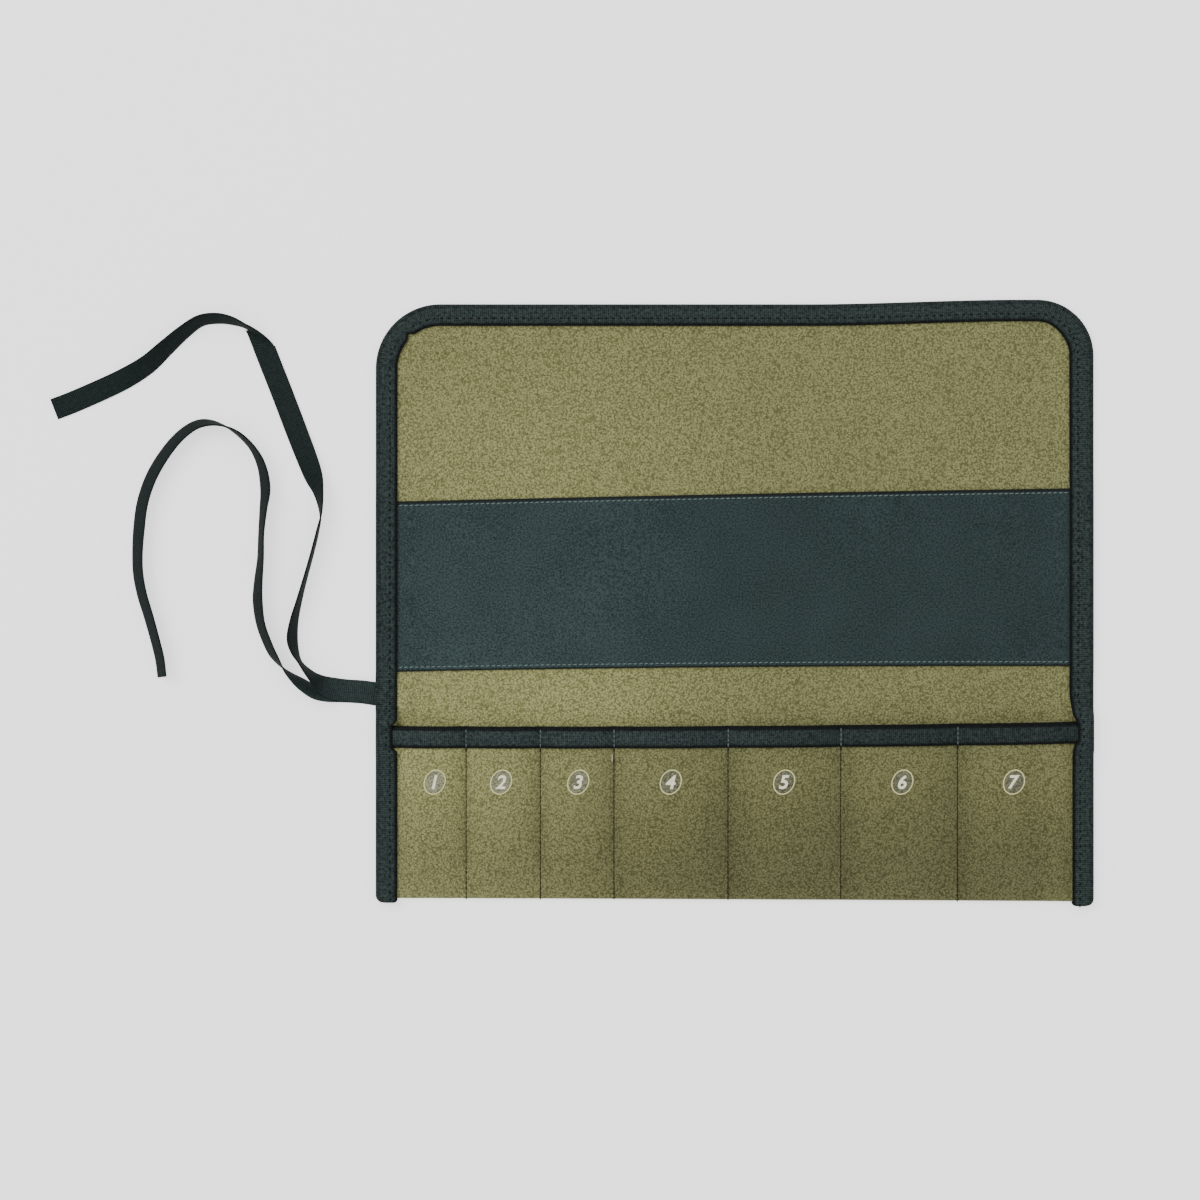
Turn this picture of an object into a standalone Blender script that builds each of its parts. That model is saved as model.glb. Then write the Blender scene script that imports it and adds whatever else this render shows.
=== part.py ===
"""Tool roll laid open on a table: a cloth folded up into seven pockets, bound with tape.

Metres, +Z up. +X runs to the right and +Y from the folded edge to the rounded top edge.
The origin is on the table, under the middle of the sewn roll. The two loose ties lie to its left.
"""

import math

import bmesh
import bpy
from mathutils import Vector

# The roll, over its edge tape.
ROLL_WIDTH = 0.395
ROLL_LENGTH = 0.3335
LEFT_CORNER_RADIUS = 0.0355
RIGHT_CORNER_RADIUS = 0.0310

# What it is made of.
CLOTH_THICKNESS = 0.0012
BAND_THICKNESS = 0.0010
TAPE_THICKNESS = 0.0010
TAPE_WIDTH = 0.0120
MOUTH_TAPE_WIDTH = 0.0120
TIE_THICKNESS = 0.0010
TIE_WIDTH = 0.0120
SEWN_GAP = 0.0003

# Where the sewn pieces lie, measured from the folded edge in the middle of the roll.
POCKET_DEPTH = 0.0957
BAND_RISE = 0.1279
BAND_HEIGHT = 0.0951
TIE_ABOVE_MOUTH = 0.0174

# How the tape and the cloth lie.
TAPE_TURN = 0.0020
TAPE_OVERHANG = 0.0024
TAPE_CLEARANCE = 0.0015
STEP_RUN = 0.0050
TIE_STEP_RUN = 0.0040
SAG_RUN = 0.0120
TOP_EDGE_DROP = 0.0025
PLEAT_DEPTH = 0.0022
PLEAT_ANGLE = 47
PLEAT_HALF_ANGLE = 5
CORNER_STEP_ANGLE = 15
POCKET_BULGE = 0.0058
FOLD_BULGE_SHARE = 0.12
BULGE_RUN_SHARE = 0.30

# The seam on the right of each pocket but the last, as a share of the width between the side tapes.
SEAM_SHARES = (0.102, 0.212, 0.321, 0.490, 0.657, 0.830)

# Places where the flat pieces bend: columns inside one pocket as shares of its width, rows of its
# front near the fold as shares of its depth, steps of the sag and of the top edge's climb as shares
# of their run, and turns of the folded cloth and of the folded tape in degrees.
POCKET_COLUMNS = (0.14, 0.37, 0.63, 0.86)
POCKET_ROWS = (0.08, 0.17)
SAG_STEPS = (1 / 3, 2 / 3, 1)
CLIMB_STEPS = (0, 0.25, 0.5, 0.75, 1)
CLOTH_TURNS = (-90, -45, 0, 45, 90)
TAPE_TURNS = (-45, 0, 45)
SHARP_ANGLE = 40

# How far a line across the roll is off its height at the left and the right end,
# as shares of the roll's length.
LINE_ENDS = {
    "fold": (0.0024, -0.0033),
    "mouth": (0.0000, 0.0075),
    "band_low": (-0.0084, 0.0015),
    "band_high": (-0.0132, 0.0099),
}

# The top edge climbs by TOP_EDGE_DROP between these shares of the half width.
TOP_EDGE_CLIMB = (0.20, 0.80)

# Routes of the ties in millimetres from where they leave the edge tape: across, along,
# lean in degrees as the edge on the left of the way out rises, height of what the tie lies on.
TIE_UPPER_ROUTE = (
    (11.0, -1.3, 0, 1.3),
    (0.0, 0.0, 0, 1.3),
    (-7.5, 1.1, 0, 1.3),
    (-15.0, 1.8, 1, 1.7),
    (-21.5, 2.8, 10, 2.7),
    (-28.0, 4.9, 32, 2.8),
    (-33.5, 8.2, 58, 1.5),
    (-39.0, 13.9, 72, 0.3),
    (-44.2, 22.0, 70, 0),
    (-46.3, 30.5, 68, 0),
    (-45.5, 40.0, 70, 0),
    (-43.2, 50.5, 76, 0),
    (-40.2, 63.0, 84, 0),
    (-36.4, 77.0, 87, 0),
    (-32.6, 89.5, 88, 0),
    (-30.4, 99.0, 98, 0),
    (-31.0, 111.0, 122, 0),
    (-34.5, 123.0, 156, 0),
    (-43.0, 143.5, 174, 0),
    (-52.0, 165.0, 178, 0),
    (-59.0, 184.0, 172, 0),
    (-64.6, 196.3, 146, 0),
    (-74.5, 203.4, 118, 0),
    (-86.5, 206.3, 114, 0),
    (-96.0, 205.0, 116, 0),
    (-105.0, 199.0, 122, 0),
    (-115.0, 190.3, 132, 0),
    (-125.5, 181.0, 146, 0),
    (-138.5, 172.6, 162, 0),
    (-153.0, 165.4, 172, 0),
    (-167.5, 159.0, 176, 0),
    (-177.0, 155.7, 177, 0),
)
TIE_LOWER_ROUTE = (
    (11.0, -1.3, 0, 0),
    (0.0, 0.0, 0, 0),
    (-7.5, 1.0, 0, 0),
    (-15.0, 1.3, 1, 0),
    (-21.5, 1.3, 9, 0),
    (-28.0, 1.0, 30, 0),
    (-34.0, 1.5, 54, 0),
    (-42.0, 5.8, 62, 0),
    (-52.0, 13.8, 86, 0),
    (-59.5, 25.0, 114, 0),
    (-63.9, 38.0, 117, 0),
    (-65.6, 51.0, 116, 0),
    (-65.1, 62.0, 110, 0),
    (-63.8, 74.5, 104, 0),
    (-63.4, 88.0, 102, 0),
    (-62.2, 101.0, 110, 0),
    (-61.4, 113.0, 116, 0),
    (-63.2, 125.5, 112, 0),
    (-67.8, 136.0, 103, 0),
    (-75.5, 144.0, 93, 0),
    (-85.0, 148.4, 78, 0),
    (-94.5, 149.4, 66, 0),
    (-103.0, 146.5, 62, 0),
    (-111.5, 139.5, 62, 0),
    (-120.0, 129.0, 62, 0),
    (-126.0, 117.5, 63, 0),
    (-129.8, 104.5, 64, 0),
    (-131.2, 91.0, 66, 0),
    (-131.7, 78.0, 67, 0),
    (-131.4, 66.5, 68, 0),
    (-129.2, 55.0, 67, 0),
    (-125.5, 43.0, 68, 0),
    (-122.0, 30.5, 70, 0),
    (-119.3, 19.5, 73, 0),
    (-118.1, 11.0, 75, 0),
)
TIE_STEP = 0.0068

# Linear colour and roughness.
KHAKI_CLOTH = ((0.245, 0.228, 0.112), 0.92)
DARK_GREEN_CLOTH = ((0.030, 0.047, 0.049), 0.75)
GREEN_TAPE = ((0.025, 0.039, 0.038), 0.85)

HALF_WIDTH = ROLL_WIDTH / 2
TOP = ROLL_LENGTH / 2
BOTTOM = -ROLL_LENGTH / 2
FOLD_HEIGHT = BOTTOM + TAPE_OVERHANG - LINE_ENDS["fold"][1] * ROLL_LENGTH
CLOTH_INSET = TAPE_TURN + SEWN_GAP
LIFT_EDGE = TAPE_WIDTH + TAPE_CLEARANCE
TAPE_LIFT = TAPE_THICKNESS + SEWN_GAP
TIE_LIFT = 2 * (TIE_THICKNESS + SEWN_GAP)
TIE_HALF_STEP = TIE_WIDTH / 2 + TAPE_CLEARANCE

LINE_HEIGHTS = {
    "fold": FOLD_HEIGHT,
    "mouth": FOLD_HEIGHT + POCKET_DEPTH,
    "band_low": FOLD_HEIGHT + BAND_RISE,
    "band_high": FOLD_HEIGHT + BAND_RISE + BAND_HEIGHT,
}


def smooth_step(value):
    share = min(max(value, 0.0), 1.0)
    return share * share * (3 - 2 * share)


def plateau(value, low, high, run):
    """One between low and high, falling straight to nought over the run beyond each."""
    beyond = max(low - value, value - high, 0.0)
    return max(1 - beyond / run, 0.0)


def line_y(name, x):
    """Height of a line across the roll, curved through its left end, middle and right end."""
    left, right = LINE_ENDS[name]
    share = x / HALF_WIDTH
    bow = (left + right) / 2 * share * share + (right - left) / 2 * share
    return LINE_HEIGHTS[name] + bow * ROLL_LENGTH


def top_edge_y(x):
    start, end = TOP_EDGE_CLIMB
    climb = smooth_step((x / HALF_WIDTH - start) / (end - start))
    return TOP - TOP_EDGE_DROP * (1 - climb)


def tie_root():
    """Where the ties leave the roll, on the outer side of the left edge tape."""
    return Vector((-HALF_WIDTH, line_y("mouth", -HALF_WIDTH) + TIE_ABOVE_MOUTH))


def edge_inset(x, y):
    """Distance in from the roll's taped outline."""
    left, right, top = x + HALF_WIDTH, HALF_WIDTH - x, top_edge_y(x) - y
    for side, radius in ((left, LEFT_CORNER_RADIUS), (right, RIGHT_CORNER_RADIUS)):
        if side < radius and top < radius:
            return radius - math.hypot(radius - side, radius - top)
    return min(left, right, top)


def tie_bump(x, y):
    """Lift of the left edge where it lies on the ends of the two ties, at the edge tape."""
    if x > 0:
        return 0.0
    root = tie_root().y
    return TIE_LIFT * plateau(y, root - TIE_HALF_STEP, root + TIE_HALF_STEP, TIE_STEP_RUN)


def back_under(x, y):
    """Underside of the back cloth: on the table in the middle, on the edge tape at the sides."""
    sag = smooth_step((edge_inset(x, y) - LIFT_EDGE) / SAG_RUN)
    return (1 - sag) * (TAPE_LIFT + tie_bump(x, y))


def back_top(x, y):
    return back_under(x, y) + CLOTH_THICKNESS


def pocket_bounds():
    inner = ROLL_WIDTH - 2 * TAPE_WIDTH
    seams = [TAPE_WIDTH - HALF_WIDTH + share * inner for share in SEAM_SHARES]
    return [LIFT_EDGE - HALF_WIDTH] + seams + [HALF_WIDTH - LIFT_EDGE]


def pocket_bulge(x, y):
    """How far a pocket's front stands off between its seams."""
    bounds = pocket_bounds()
    for left, right in zip(bounds, bounds[1:]):
        if left < x < right:
            across = (x - left) / (right - left)
            along = (y - line_y("fold", x)) / (line_y("mouth", x) - line_y("fold", x))
            rise = FOLD_BULGE_SHARE + (1 - FOLD_BULGE_SHARE) * smooth_step(along / BULGE_RUN_SHARE)
            return POCKET_BULGE * 4 * across * (1 - across) * rise
    return 0.0


def mouth_tape_under(x, y):
    return back_top(x, y) + SEWN_GAP + pocket_bulge(x, y)


def mouth_tape_top(x, y):
    return mouth_tape_under(x, y) + 2 * TAPE_THICKNESS + 2 * SEWN_GAP + CLOTH_THICKNESS


def front_under(x, y):
    """Underside of the pockets' front, which climbs onto the tape that wraps its mouth."""
    mouth = line_y("mouth", x)
    low = mouth - MOUTH_TAPE_WIDTH - TAPE_CLEARANCE
    on_tape = TAPE_LIFT * plateau(y, low, mouth, STEP_RUN)
    return back_top(x, y) + SEWN_GAP + on_tape + pocket_bulge(x, y)


def side_stack_top(x, y):
    """Top of all that lies between the two layers of the edge tape."""
    front = SEWN_GAP + CLOTH_THICKNESS
    wrapped = front + 2 * TAPE_LIFT
    band = SEWN_GAP + BAND_THICKNESS
    mouth = line_y("mouth", x)
    low, high = line_y("band_low", x), line_y("band_high", x)
    tape_foot = mouth - MOUTH_TAPE_WIDTH - TAPE_CLEARANCE
    return back_top(x, y) + max(
        front * plateau(y, BOTTOM, mouth + TAPE_CLEARANCE, STEP_RUN),
        wrapped * plateau(y, tape_foot - TAPE_CLEARANCE, mouth + TAPE_CLEARANCE, STEP_RUN),
        band * plateau(y, low - TAPE_CLEARANCE, high + TAPE_CLEARANCE, STEP_RUN))


def spaced(keys, extras, closest):
    """All the keys, with each extra that lies clear of what is already there."""
    values = list(keys)
    for extra in extras:
        if min(abs(extra - value) for value in values) >= closest:
            values.append(extra)
    return sorted(values)


def cloth_columns():
    """Places across the roll where the flat pieces have an edge running along it."""
    edge = HALF_WIDTH - CLOTH_INSET
    bounds = pocket_bounds()
    extras = []
    for step in SAG_STEPS:
        inset = LIFT_EDGE + step * SAG_RUN
        extras += [inset - HALF_WIDTH, HALF_WIDTH - inset]
    for left, right in zip(bounds, bounds[1:]):
        extras += [left + share * (right - left) for share in POCKET_COLUMNS]
    return spaced([-edge] + bounds + [edge], extras, STEP_RUN / 2)


def tie_rows():
    """Heights along the roll where its left edge bends over the ends of the ties."""
    root = tie_root().y
    steps = (TIE_HALF_STEP + TIE_STEP_RUN, TIE_HALF_STEP)
    return [root - steps[0], root - steps[1], root + steps[1], root + steps[0]]


def new_material(name, finish):
    colour, roughness = finish
    material = bpy.data.materials.new(name)
    material.use_nodes = True
    shader = material.node_tree.nodes["Principled BSDF"]
    shader.inputs["Base Color"].default_value = (*colour, 1)
    shader.inputs["Roughness"].default_value = roughness
    shader.inputs["Metallic"].default_value = 0
    material.diffuse_color = (*colour, 1)
    return material


def new_wall(name, rows, finish):
    """A closed wall from rows of (outer point, inner point), each row with as many columns."""
    mesh = bpy.data.meshes.new(name)
    shape = bmesh.new()
    order = shape.verts.layers.int.new("order")
    grid = bmesh.ops.create_grid(
        shape, x_segments=len(rows[0]) - 1, y_segments=len(rows) - 1, size=0.5)["verts"]
    places = [place for row in rows for place in row]
    for number, vertex in enumerate(grid):
        vertex[order] = number
    bmesh.ops.extrude_face_region(shape, geom=shape.faces[:], use_keep_orig=True)
    outer = set(grid)
    for vertex in shape.verts:
        outer_place, inner_place = places[vertex[order]]
        vertex.co = outer_place if vertex in outer else inner_place
    bmesh.ops.recalc_face_normals(shape, faces=shape.faces[:])
    shape.to_mesh(mesh)
    shape.free()
    mesh.shade_smooth()
    mesh.set_sharp_from_angle(angle=math.radians(SHARP_ANGLE))
    mesh.materials.append(new_material(name, finish))
    piece = bpy.data.objects.new(name, mesh)
    bpy.context.scene.collection.objects.link(piece)
    return piece


def corner_rows():
    """The back cloth's rows round the top corners: the left end and the right end of each."""
    rows = []
    for angle in range(90, -1, -CORNER_STEP_ANGLE):
        turn = math.radians(angle)
        ends = []
        for side, radius in ((-1, LEFT_CORNER_RADIUS), (1, RIGHT_CORNER_RADIUS)):
            centre_x = side * (HALF_WIDTH - radius)
            centre_y = top_edge_y(centre_x) - radius
            reach = radius - CLOTH_INSET
            ends.append((centre_x + side * reach * math.cos(turn), centre_y + reach * math.sin(turn)))
        rows.append(ends)
    return rows


def make_body_cloth():
    """One cloth: the back panel, the fold along the bottom edge, and the pockets' front."""
    columns = cloth_columns()
    left_edge, right_edge = columns[0], columns[-1]
    lift = Vector((0, 0, CLOTH_THICKNESS))
    rows = []

    for (left_x, left_y), (right_x, right_y) in corner_rows():
        row = []
        for column in columns:
            share = (column - left_edge) / (right_edge - left_edge)
            x = left_x + share * (right_x - left_x)
            top_drop = top_edge_y(x) - top_edge_y(right_x)
            left_drop = top_edge_y(left_x) - top_edge_y(right_x)
            y = right_y + (1 - share) * (left_y - right_y - left_drop) + top_drop
            under = Vector((x, y, back_under(x, y)))
            row.append((under, under + lift))
        rows.append(row)

    corner_foot = TOP - TOP_EDGE_DROP - max(LEFT_CORNER_RADIUS, RIGHT_CORNER_RADIUS)
    sag_foot = tie_root().y - TIE_HALF_STEP - 2 * TIE_STEP_RUN
    middle = (corner_foot + tie_root().y) / 2
    for y in [middle] + sorted(tie_rows(), reverse=True) + [sag_foot]:
        row = []
        for x in columns:
            under = Vector((x, y, back_under(x, y)))
            row.append((under, under + lift))
        rows.append(row)

    for turn in CLOTH_TURNS:
        row = []
        for x in columns:
            fold = line_y("fold", x)
            inner = (SEWN_GAP + pocket_bulge(x, fold)) / 2
            centre = Vector((x, fold + inner + CLOTH_THICKNESS, back_top(x, fold) + inner))
            way = Vector((0, -math.cos(math.radians(turn)), math.sin(math.radians(turn))))
            row.append((centre + way * (inner + CLOTH_THICKNESS), centre + way * inner))
        rows.append(row)

    tape_foot = MOUTH_TAPE_WIDTH + TAPE_CLEARANCE
    near_fold = [(share, 0) for share in (*POCKET_ROWS, BULGE_RUN_SHARE)]
    at_mouth = [(1, drop) for drop in (tape_foot + STEP_RUN, tape_foot, CLOTH_INSET)]
    for share, drop in near_fold + at_mouth:
        row = []
        for x in columns:
            fold = line_y("fold", x)
            y = fold + share * (line_y("mouth", x) - fold) - drop
            under = Vector((x, y, front_under(x, y)))
            row.append((under + lift, under))
        rows.append(row)

    return new_wall("body_cloth", rows, KHAKI_CLOTH)


def make_band():
    """The dark band, sewn down along its edges on the back cloth."""
    columns = cloth_columns()
    low_edge = [line_y("band_low", x) for x in columns]
    high_edge = [line_y("band_high", x) for x in columns]
    middle = (max(low_edge) + min(high_edge)) / 2
    between = [y for y in tie_rows() + [middle] if max(low_edge) < y < min(high_edge)]
    heights = [low_edge] + [[y] * len(columns) for y in sorted(between)] + [high_edge]
    rows = []
    for row_heights in heights:
        row = []
        for x, y in zip(columns, row_heights):
            under = back_top(x, y) + SEWN_GAP
            row.append((Vector((x, y, under)), Vector((x, y, under + BAND_THICKNESS))))
        rows.append(row)
    return new_wall("band", rows, DARK_GREEN_CLOTH)


def tape_section(width_below, width_above, low, high):
    """Places across a folded tape, as (inset, outer height, inner height, outer inset of the turn).

    low and high give the heights of the tape's two outer faces at an inset.
    """
    section = []
    for inset in (width_below, (width_below + TAPE_TURN) / 2, TAPE_TURN):
        section.append((inset, low(inset), inset, low(inset) + TAPE_THICKNESS))
    bottom, top = low(TAPE_TURN), high(TAPE_TURN)
    centre, half = (bottom + top) / 2, (top - bottom) / 2
    inner_turn, inner_half = TAPE_TURN - TAPE_THICKNESS, half - TAPE_THICKNESS
    for angle in TAPE_TURNS:
        out, up = math.cos(math.radians(angle)), math.sin(math.radians(angle))
        section.append((
            TAPE_TURN * (1 - out), centre + half * up,
            TAPE_TURN - inner_turn * out, centre + inner_half * up))
    for inset in (TAPE_TURN, (width_above + TAPE_TURN) / 2, width_above):
        section.append((inset, high(inset), inset, high(inset) - TAPE_THICKNESS))
    return section


def edge_stations():
    """Places along the taped outline from the left foot, over the top, to the right foot.

    Each is (outline point, direction in to the roll, width of the tape's upper layer).
    """
    stations = []

    def side_station(side, y):
        stations.append((Vector((side * HALF_WIDTH, y)), Vector((-side, 0)), TAPE_WIDTH))

    def side_heights(side, foot, head):
        x = side * HALF_WIDTH
        mouth, low, high = line_y("mouth", x), line_y("band_low", x), line_y("band_high", x)
        climb = mouth - MOUTH_TAPE_WIDTH - 2 * TAPE_CLEARANCE
        steps = tie_rows() if side < 0 else []
        for rise in (climb, low - TAPE_CLEARANCE):
            steps += [rise - STEP_RUN, rise]
        for drop in (mouth + TAPE_CLEARANCE, high + TAPE_CLEARANCE):
            steps += [drop, drop + STEP_RUN]
        inside = [y for y in sorted(steps) if foot < y < head]
        return spaced([foot, head], inside, SEWN_GAP)

    def corner_stations(side, radius, angles, pleats):
        centre = Vector((side * (HALF_WIDTH - radius), 0))
        centre.y = top_edge_y(centre.x) - radius
        for angle in angles:
            way = Vector((side * math.cos(math.radians(angle)), math.sin(math.radians(angle))))
            width = TAPE_WIDTH - (PLEAT_DEPTH if angle in pleats else 0)
            stations.append((centre + way * radius, -way, width))

    left_foot = line_y("fold", -HALF_WIDTH) - TAPE_OVERHANG
    left_head = top_edge_y(-HALF_WIDTH) - LEFT_CORNER_RADIUS
    for y in side_heights(-1, left_foot, left_head):
        side_station(-1, y)
    steps = range(CORNER_STEP_ANGLE, 90, CORNER_STEP_ANGLE)
    pleat = [PLEAT_ANGLE - PLEAT_HALF_ANGLE, PLEAT_ANGLE, PLEAT_ANGLE + PLEAT_HALF_ANGLE]
    angles = spaced(pleat, steps, PLEAT_HALF_ANGLE)
    corner_stations(-1, LEFT_CORNER_RADIUS, angles, [PLEAT_ANGLE])

    top_left, top_right = LEFT_CORNER_RADIUS - HALF_WIDTH, HALF_WIDTH - RIGHT_CORNER_RADIUS
    start, end = (share * HALF_WIDTH for share in TOP_EDGE_CLIMB)
    climb = [start + share * (end - start) for share in CLIMB_STEPS]
    inside = [x for x in climb if top_left < x < top_right]
    for x in spaced([top_left, top_right], inside, SEWN_GAP):
        stations.append((Vector((x, top_edge_y(x))), Vector((0, -1)), TAPE_WIDTH))

    corner_stations(1, RIGHT_CORNER_RADIUS, reversed(steps), [])
    right_head = top_edge_y(HALF_WIDTH) - RIGHT_CORNER_RADIUS
    for y in reversed(side_heights(1, BOTTOM, right_head)):
        side_station(1, y)
    return stations


def make_edge_tape():
    """One tape folded round the left, top and right edges, gathered in a pleat at the left corner."""
    rows = []
    for outline, inward, width_above in edge_stations():

        def low(inset):
            place = outline + inward * inset
            return tie_bump(place.x, place.y)

        def high(inset):
            place = outline + inward * inset
            return side_stack_top(place.x, place.y) + TAPE_LIFT

        row = []
        section = tape_section(TAPE_WIDTH, width_above, low, high)
        for inset, height, inner_inset, inner_height in section:
            outer, inner = outline + inward * inset, outline + inward * inner_inset
            row.append((Vector((*outer, height)), Vector((*inner, inner_height))))
        rows.append(row)
    return new_wall("edge_binding", rows, GREEN_TAPE)


def make_mouth_tape():
    """The tape folded over the top edge of the pockets' front, its ends under the edge tape."""
    rows = []
    for x in cloth_columns():
        mouth = line_y("mouth", x)

        def low(inset):
            return mouth_tape_under(x, mouth - inset)

        def high(inset):
            return mouth_tape_top(x, mouth - inset)

        row = []
        section = tape_section(MOUTH_TAPE_WIDTH, MOUTH_TAPE_WIDTH, low, high)
        for inset, height, inner_inset, inner_height in section:
            outer, inner = mouth - inset, mouth - inner_inset
            row.append((Vector((x, outer, height)), Vector((x, inner, inner_height))))
        rows.append(row)
    return new_wall("pocket_binding", rows, GREEN_TAPE)


def smooth_between(before, start, end, after, share):
    """A point of the smooth curve from start to end, with the points before and after them."""
    square, cube = share * share, share * share * share
    return tuple(
        0.5 * (2 * b + (c - a) * share + (2 * a - 5 * b + 4 * c - d) * square
               + (3 * b - a - 3 * c + d) * cube)
        for a, b, c, d in zip(before, start, end, after))


def tie_points(route):
    """Points of a tie in metres, about TIE_STEP apart: x, y, lean in radians, height below it."""
    root = tie_root()
    knots = [
        (root.x + across / 1000, root.y + along / 1000, math.radians(lean), rise / 1000)
        for across, along, lean, rise in route]
    padded = [knots[0]] + knots + [knots[-1]]
    points = []
    for before, start, end, after in zip(padded, padded[1:], padded[2:], padded[3:]):
        length = math.hypot(end[0] - start[0], end[1] - start[1])
        count = max(round(length / TIE_STEP), 1)
        points += [smooth_between(before, start, end, after, step / count) for step in range(count)]
    return points + [knots[-1]]


def make_tie(name, route):
    """A flat tie of tape: it lies flat at the roll and stands partly on its edge further out."""
    points = tie_points(route)
    curve = bpy.data.curves.new(name, "CURVE")
    curve.dimensions = "3D"
    curve.twist_mode = "Z_UP"
    curve.fill_mode = "FULL"
    curve.bevel_depth = TIE_THICKNESS / 2
    curve.bevel_resolution = 1
    curve.extrude = (TIE_WIDTH - TIE_THICKNESS) / 2
    curve.use_fill_caps = True
    spline = curve.splines.new("POLY")
    spline.points.add(len(points) - 1)
    for point, (x, y, lean, rise) in zip(spline.points, points):
        reach = (TIE_WIDTH - TIE_THICKNESS) / 2 * abs(math.sin(lean)) + TIE_THICKNESS / 2
        point.co = (x, y, rise + reach, 1)
        point.tilt = lean - math.pi / 2
    piece = bpy.data.objects.new(name, curve)
    curve.materials.append(new_material(name, GREEN_TAPE))
    bpy.context.scene.collection.objects.link(piece)
    return piece


def main():
    for leftover in list(bpy.data.objects):
        bpy.data.objects.remove(leftover)
    make_body_cloth()
    make_band()
    make_edge_tape()
    make_mouth_tape()
    make_tie("tie_upper", TIE_UPPER_ROUTE)
    make_tie("tie_lower", TIE_LOWER_ROUTE)


main()
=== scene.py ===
"""The looks of a tool roll that lies open, built round its packed solids.

The file is laid out as an add-on, with one operator for each kind of piece, and runs as a script.
Metres, +Z up, in the frame of the packed model: +X to the right along the folded edge,
+Y from the folded edge to the rounded top edge.
"""

import math

import bmesh
import bpy
import numpy as np
from bpy.props import FloatProperty, FloatVectorProperty, PointerProperty
from mathutils import Matrix, Vector


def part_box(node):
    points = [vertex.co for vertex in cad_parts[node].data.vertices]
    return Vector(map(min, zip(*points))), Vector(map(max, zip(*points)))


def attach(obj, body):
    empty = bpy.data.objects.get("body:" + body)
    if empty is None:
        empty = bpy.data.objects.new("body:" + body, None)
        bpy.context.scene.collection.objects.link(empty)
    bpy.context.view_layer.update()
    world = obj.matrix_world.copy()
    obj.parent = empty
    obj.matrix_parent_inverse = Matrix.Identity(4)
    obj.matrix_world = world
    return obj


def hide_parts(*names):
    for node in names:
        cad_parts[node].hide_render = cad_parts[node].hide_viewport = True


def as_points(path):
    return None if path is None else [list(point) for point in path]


bl_info = {
    "name": "Open tool roll",
    "version": (1, 0, 0),
    "blender": (4, 5, 0),
    "location": "3D View > Sidebar > Tool Roll",
    "description": "Builds the cloth, tapes, ties, stitches and numbers of an open tool roll",
    "category": "Add Mesh",
}

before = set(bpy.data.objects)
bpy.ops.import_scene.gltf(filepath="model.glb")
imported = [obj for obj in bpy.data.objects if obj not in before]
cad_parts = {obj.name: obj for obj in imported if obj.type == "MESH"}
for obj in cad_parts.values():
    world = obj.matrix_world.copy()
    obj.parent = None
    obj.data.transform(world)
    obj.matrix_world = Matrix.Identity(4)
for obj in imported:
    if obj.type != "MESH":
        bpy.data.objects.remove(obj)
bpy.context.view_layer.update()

ROLL_LOW, ROLL_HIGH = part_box("edge_binding")
ROLL_WIDTH = ROLL_HIGH.x - ROLL_LOW.x
ROLL_LENGTH = ROLL_HIGH.y - ROLL_LOW.y

# The roll's corners, and how its sewn pieces lie on one another.
LEFT_CORNER_RADIUS = 0.0355
RIGHT_CORNER_RADIUS = 0.0310
SEWN_GAP = 0.0003
TIE_ABOVE_MOUTH = 0.0174
TAPE_TURN = 0.0020
TAPE_OVERHANG = 0.0024
TAPE_CLEARANCE = 0.0015

# Over what length a piece steps up on to another one, and the back panel sags beside the tape.
STEP_RUN = 0.0060
TIE_STEP_RUN = 0.0050
SAG_RUN = 0.0140

# How much lower the top edge is on the left, and between which shares of the half width it climbs.
TOP_EDGE_DROP = 0.0025
TOP_EDGE_CLIMB = (0.20, 0.80)

# The small pleat in the tape at the left corner, its angles in degrees, its crest as a share of
# its half width.
PLEAT_DEPTH = 0.0024
PLEAT_RISE = 0.0007
PLEAT_ANGLE = 47
PLEAT_HALF_ANGLE = 6
PLEAT_CREST = 0.7

# The bulge of a pocket's front: its share at the fold, the share of the depth over which it grows,
# and the power of its curve from seam to seam.
FOLD_BULGE_SHARE = 0.12
BULGE_RUN_SHARE = 0.30
BULGE_POWER = 3

# The seam on the right of each pocket but the last, as a share of the width between the side tapes.
SEAM_SHARES = (0.102, 0.212, 0.321, 0.490, 0.657, 0.830)

# How far a line across the roll is off its height at the left and the right end,
# as shares of the roll's length.
LINE_ENDS = {
    "fold": (0.0024, -0.0033),
    "mouth": (0.0000, 0.0075),
    "band_low": (-0.0084, 0.0015),
    "band_high": (-0.0132, 0.0099),
}

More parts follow.
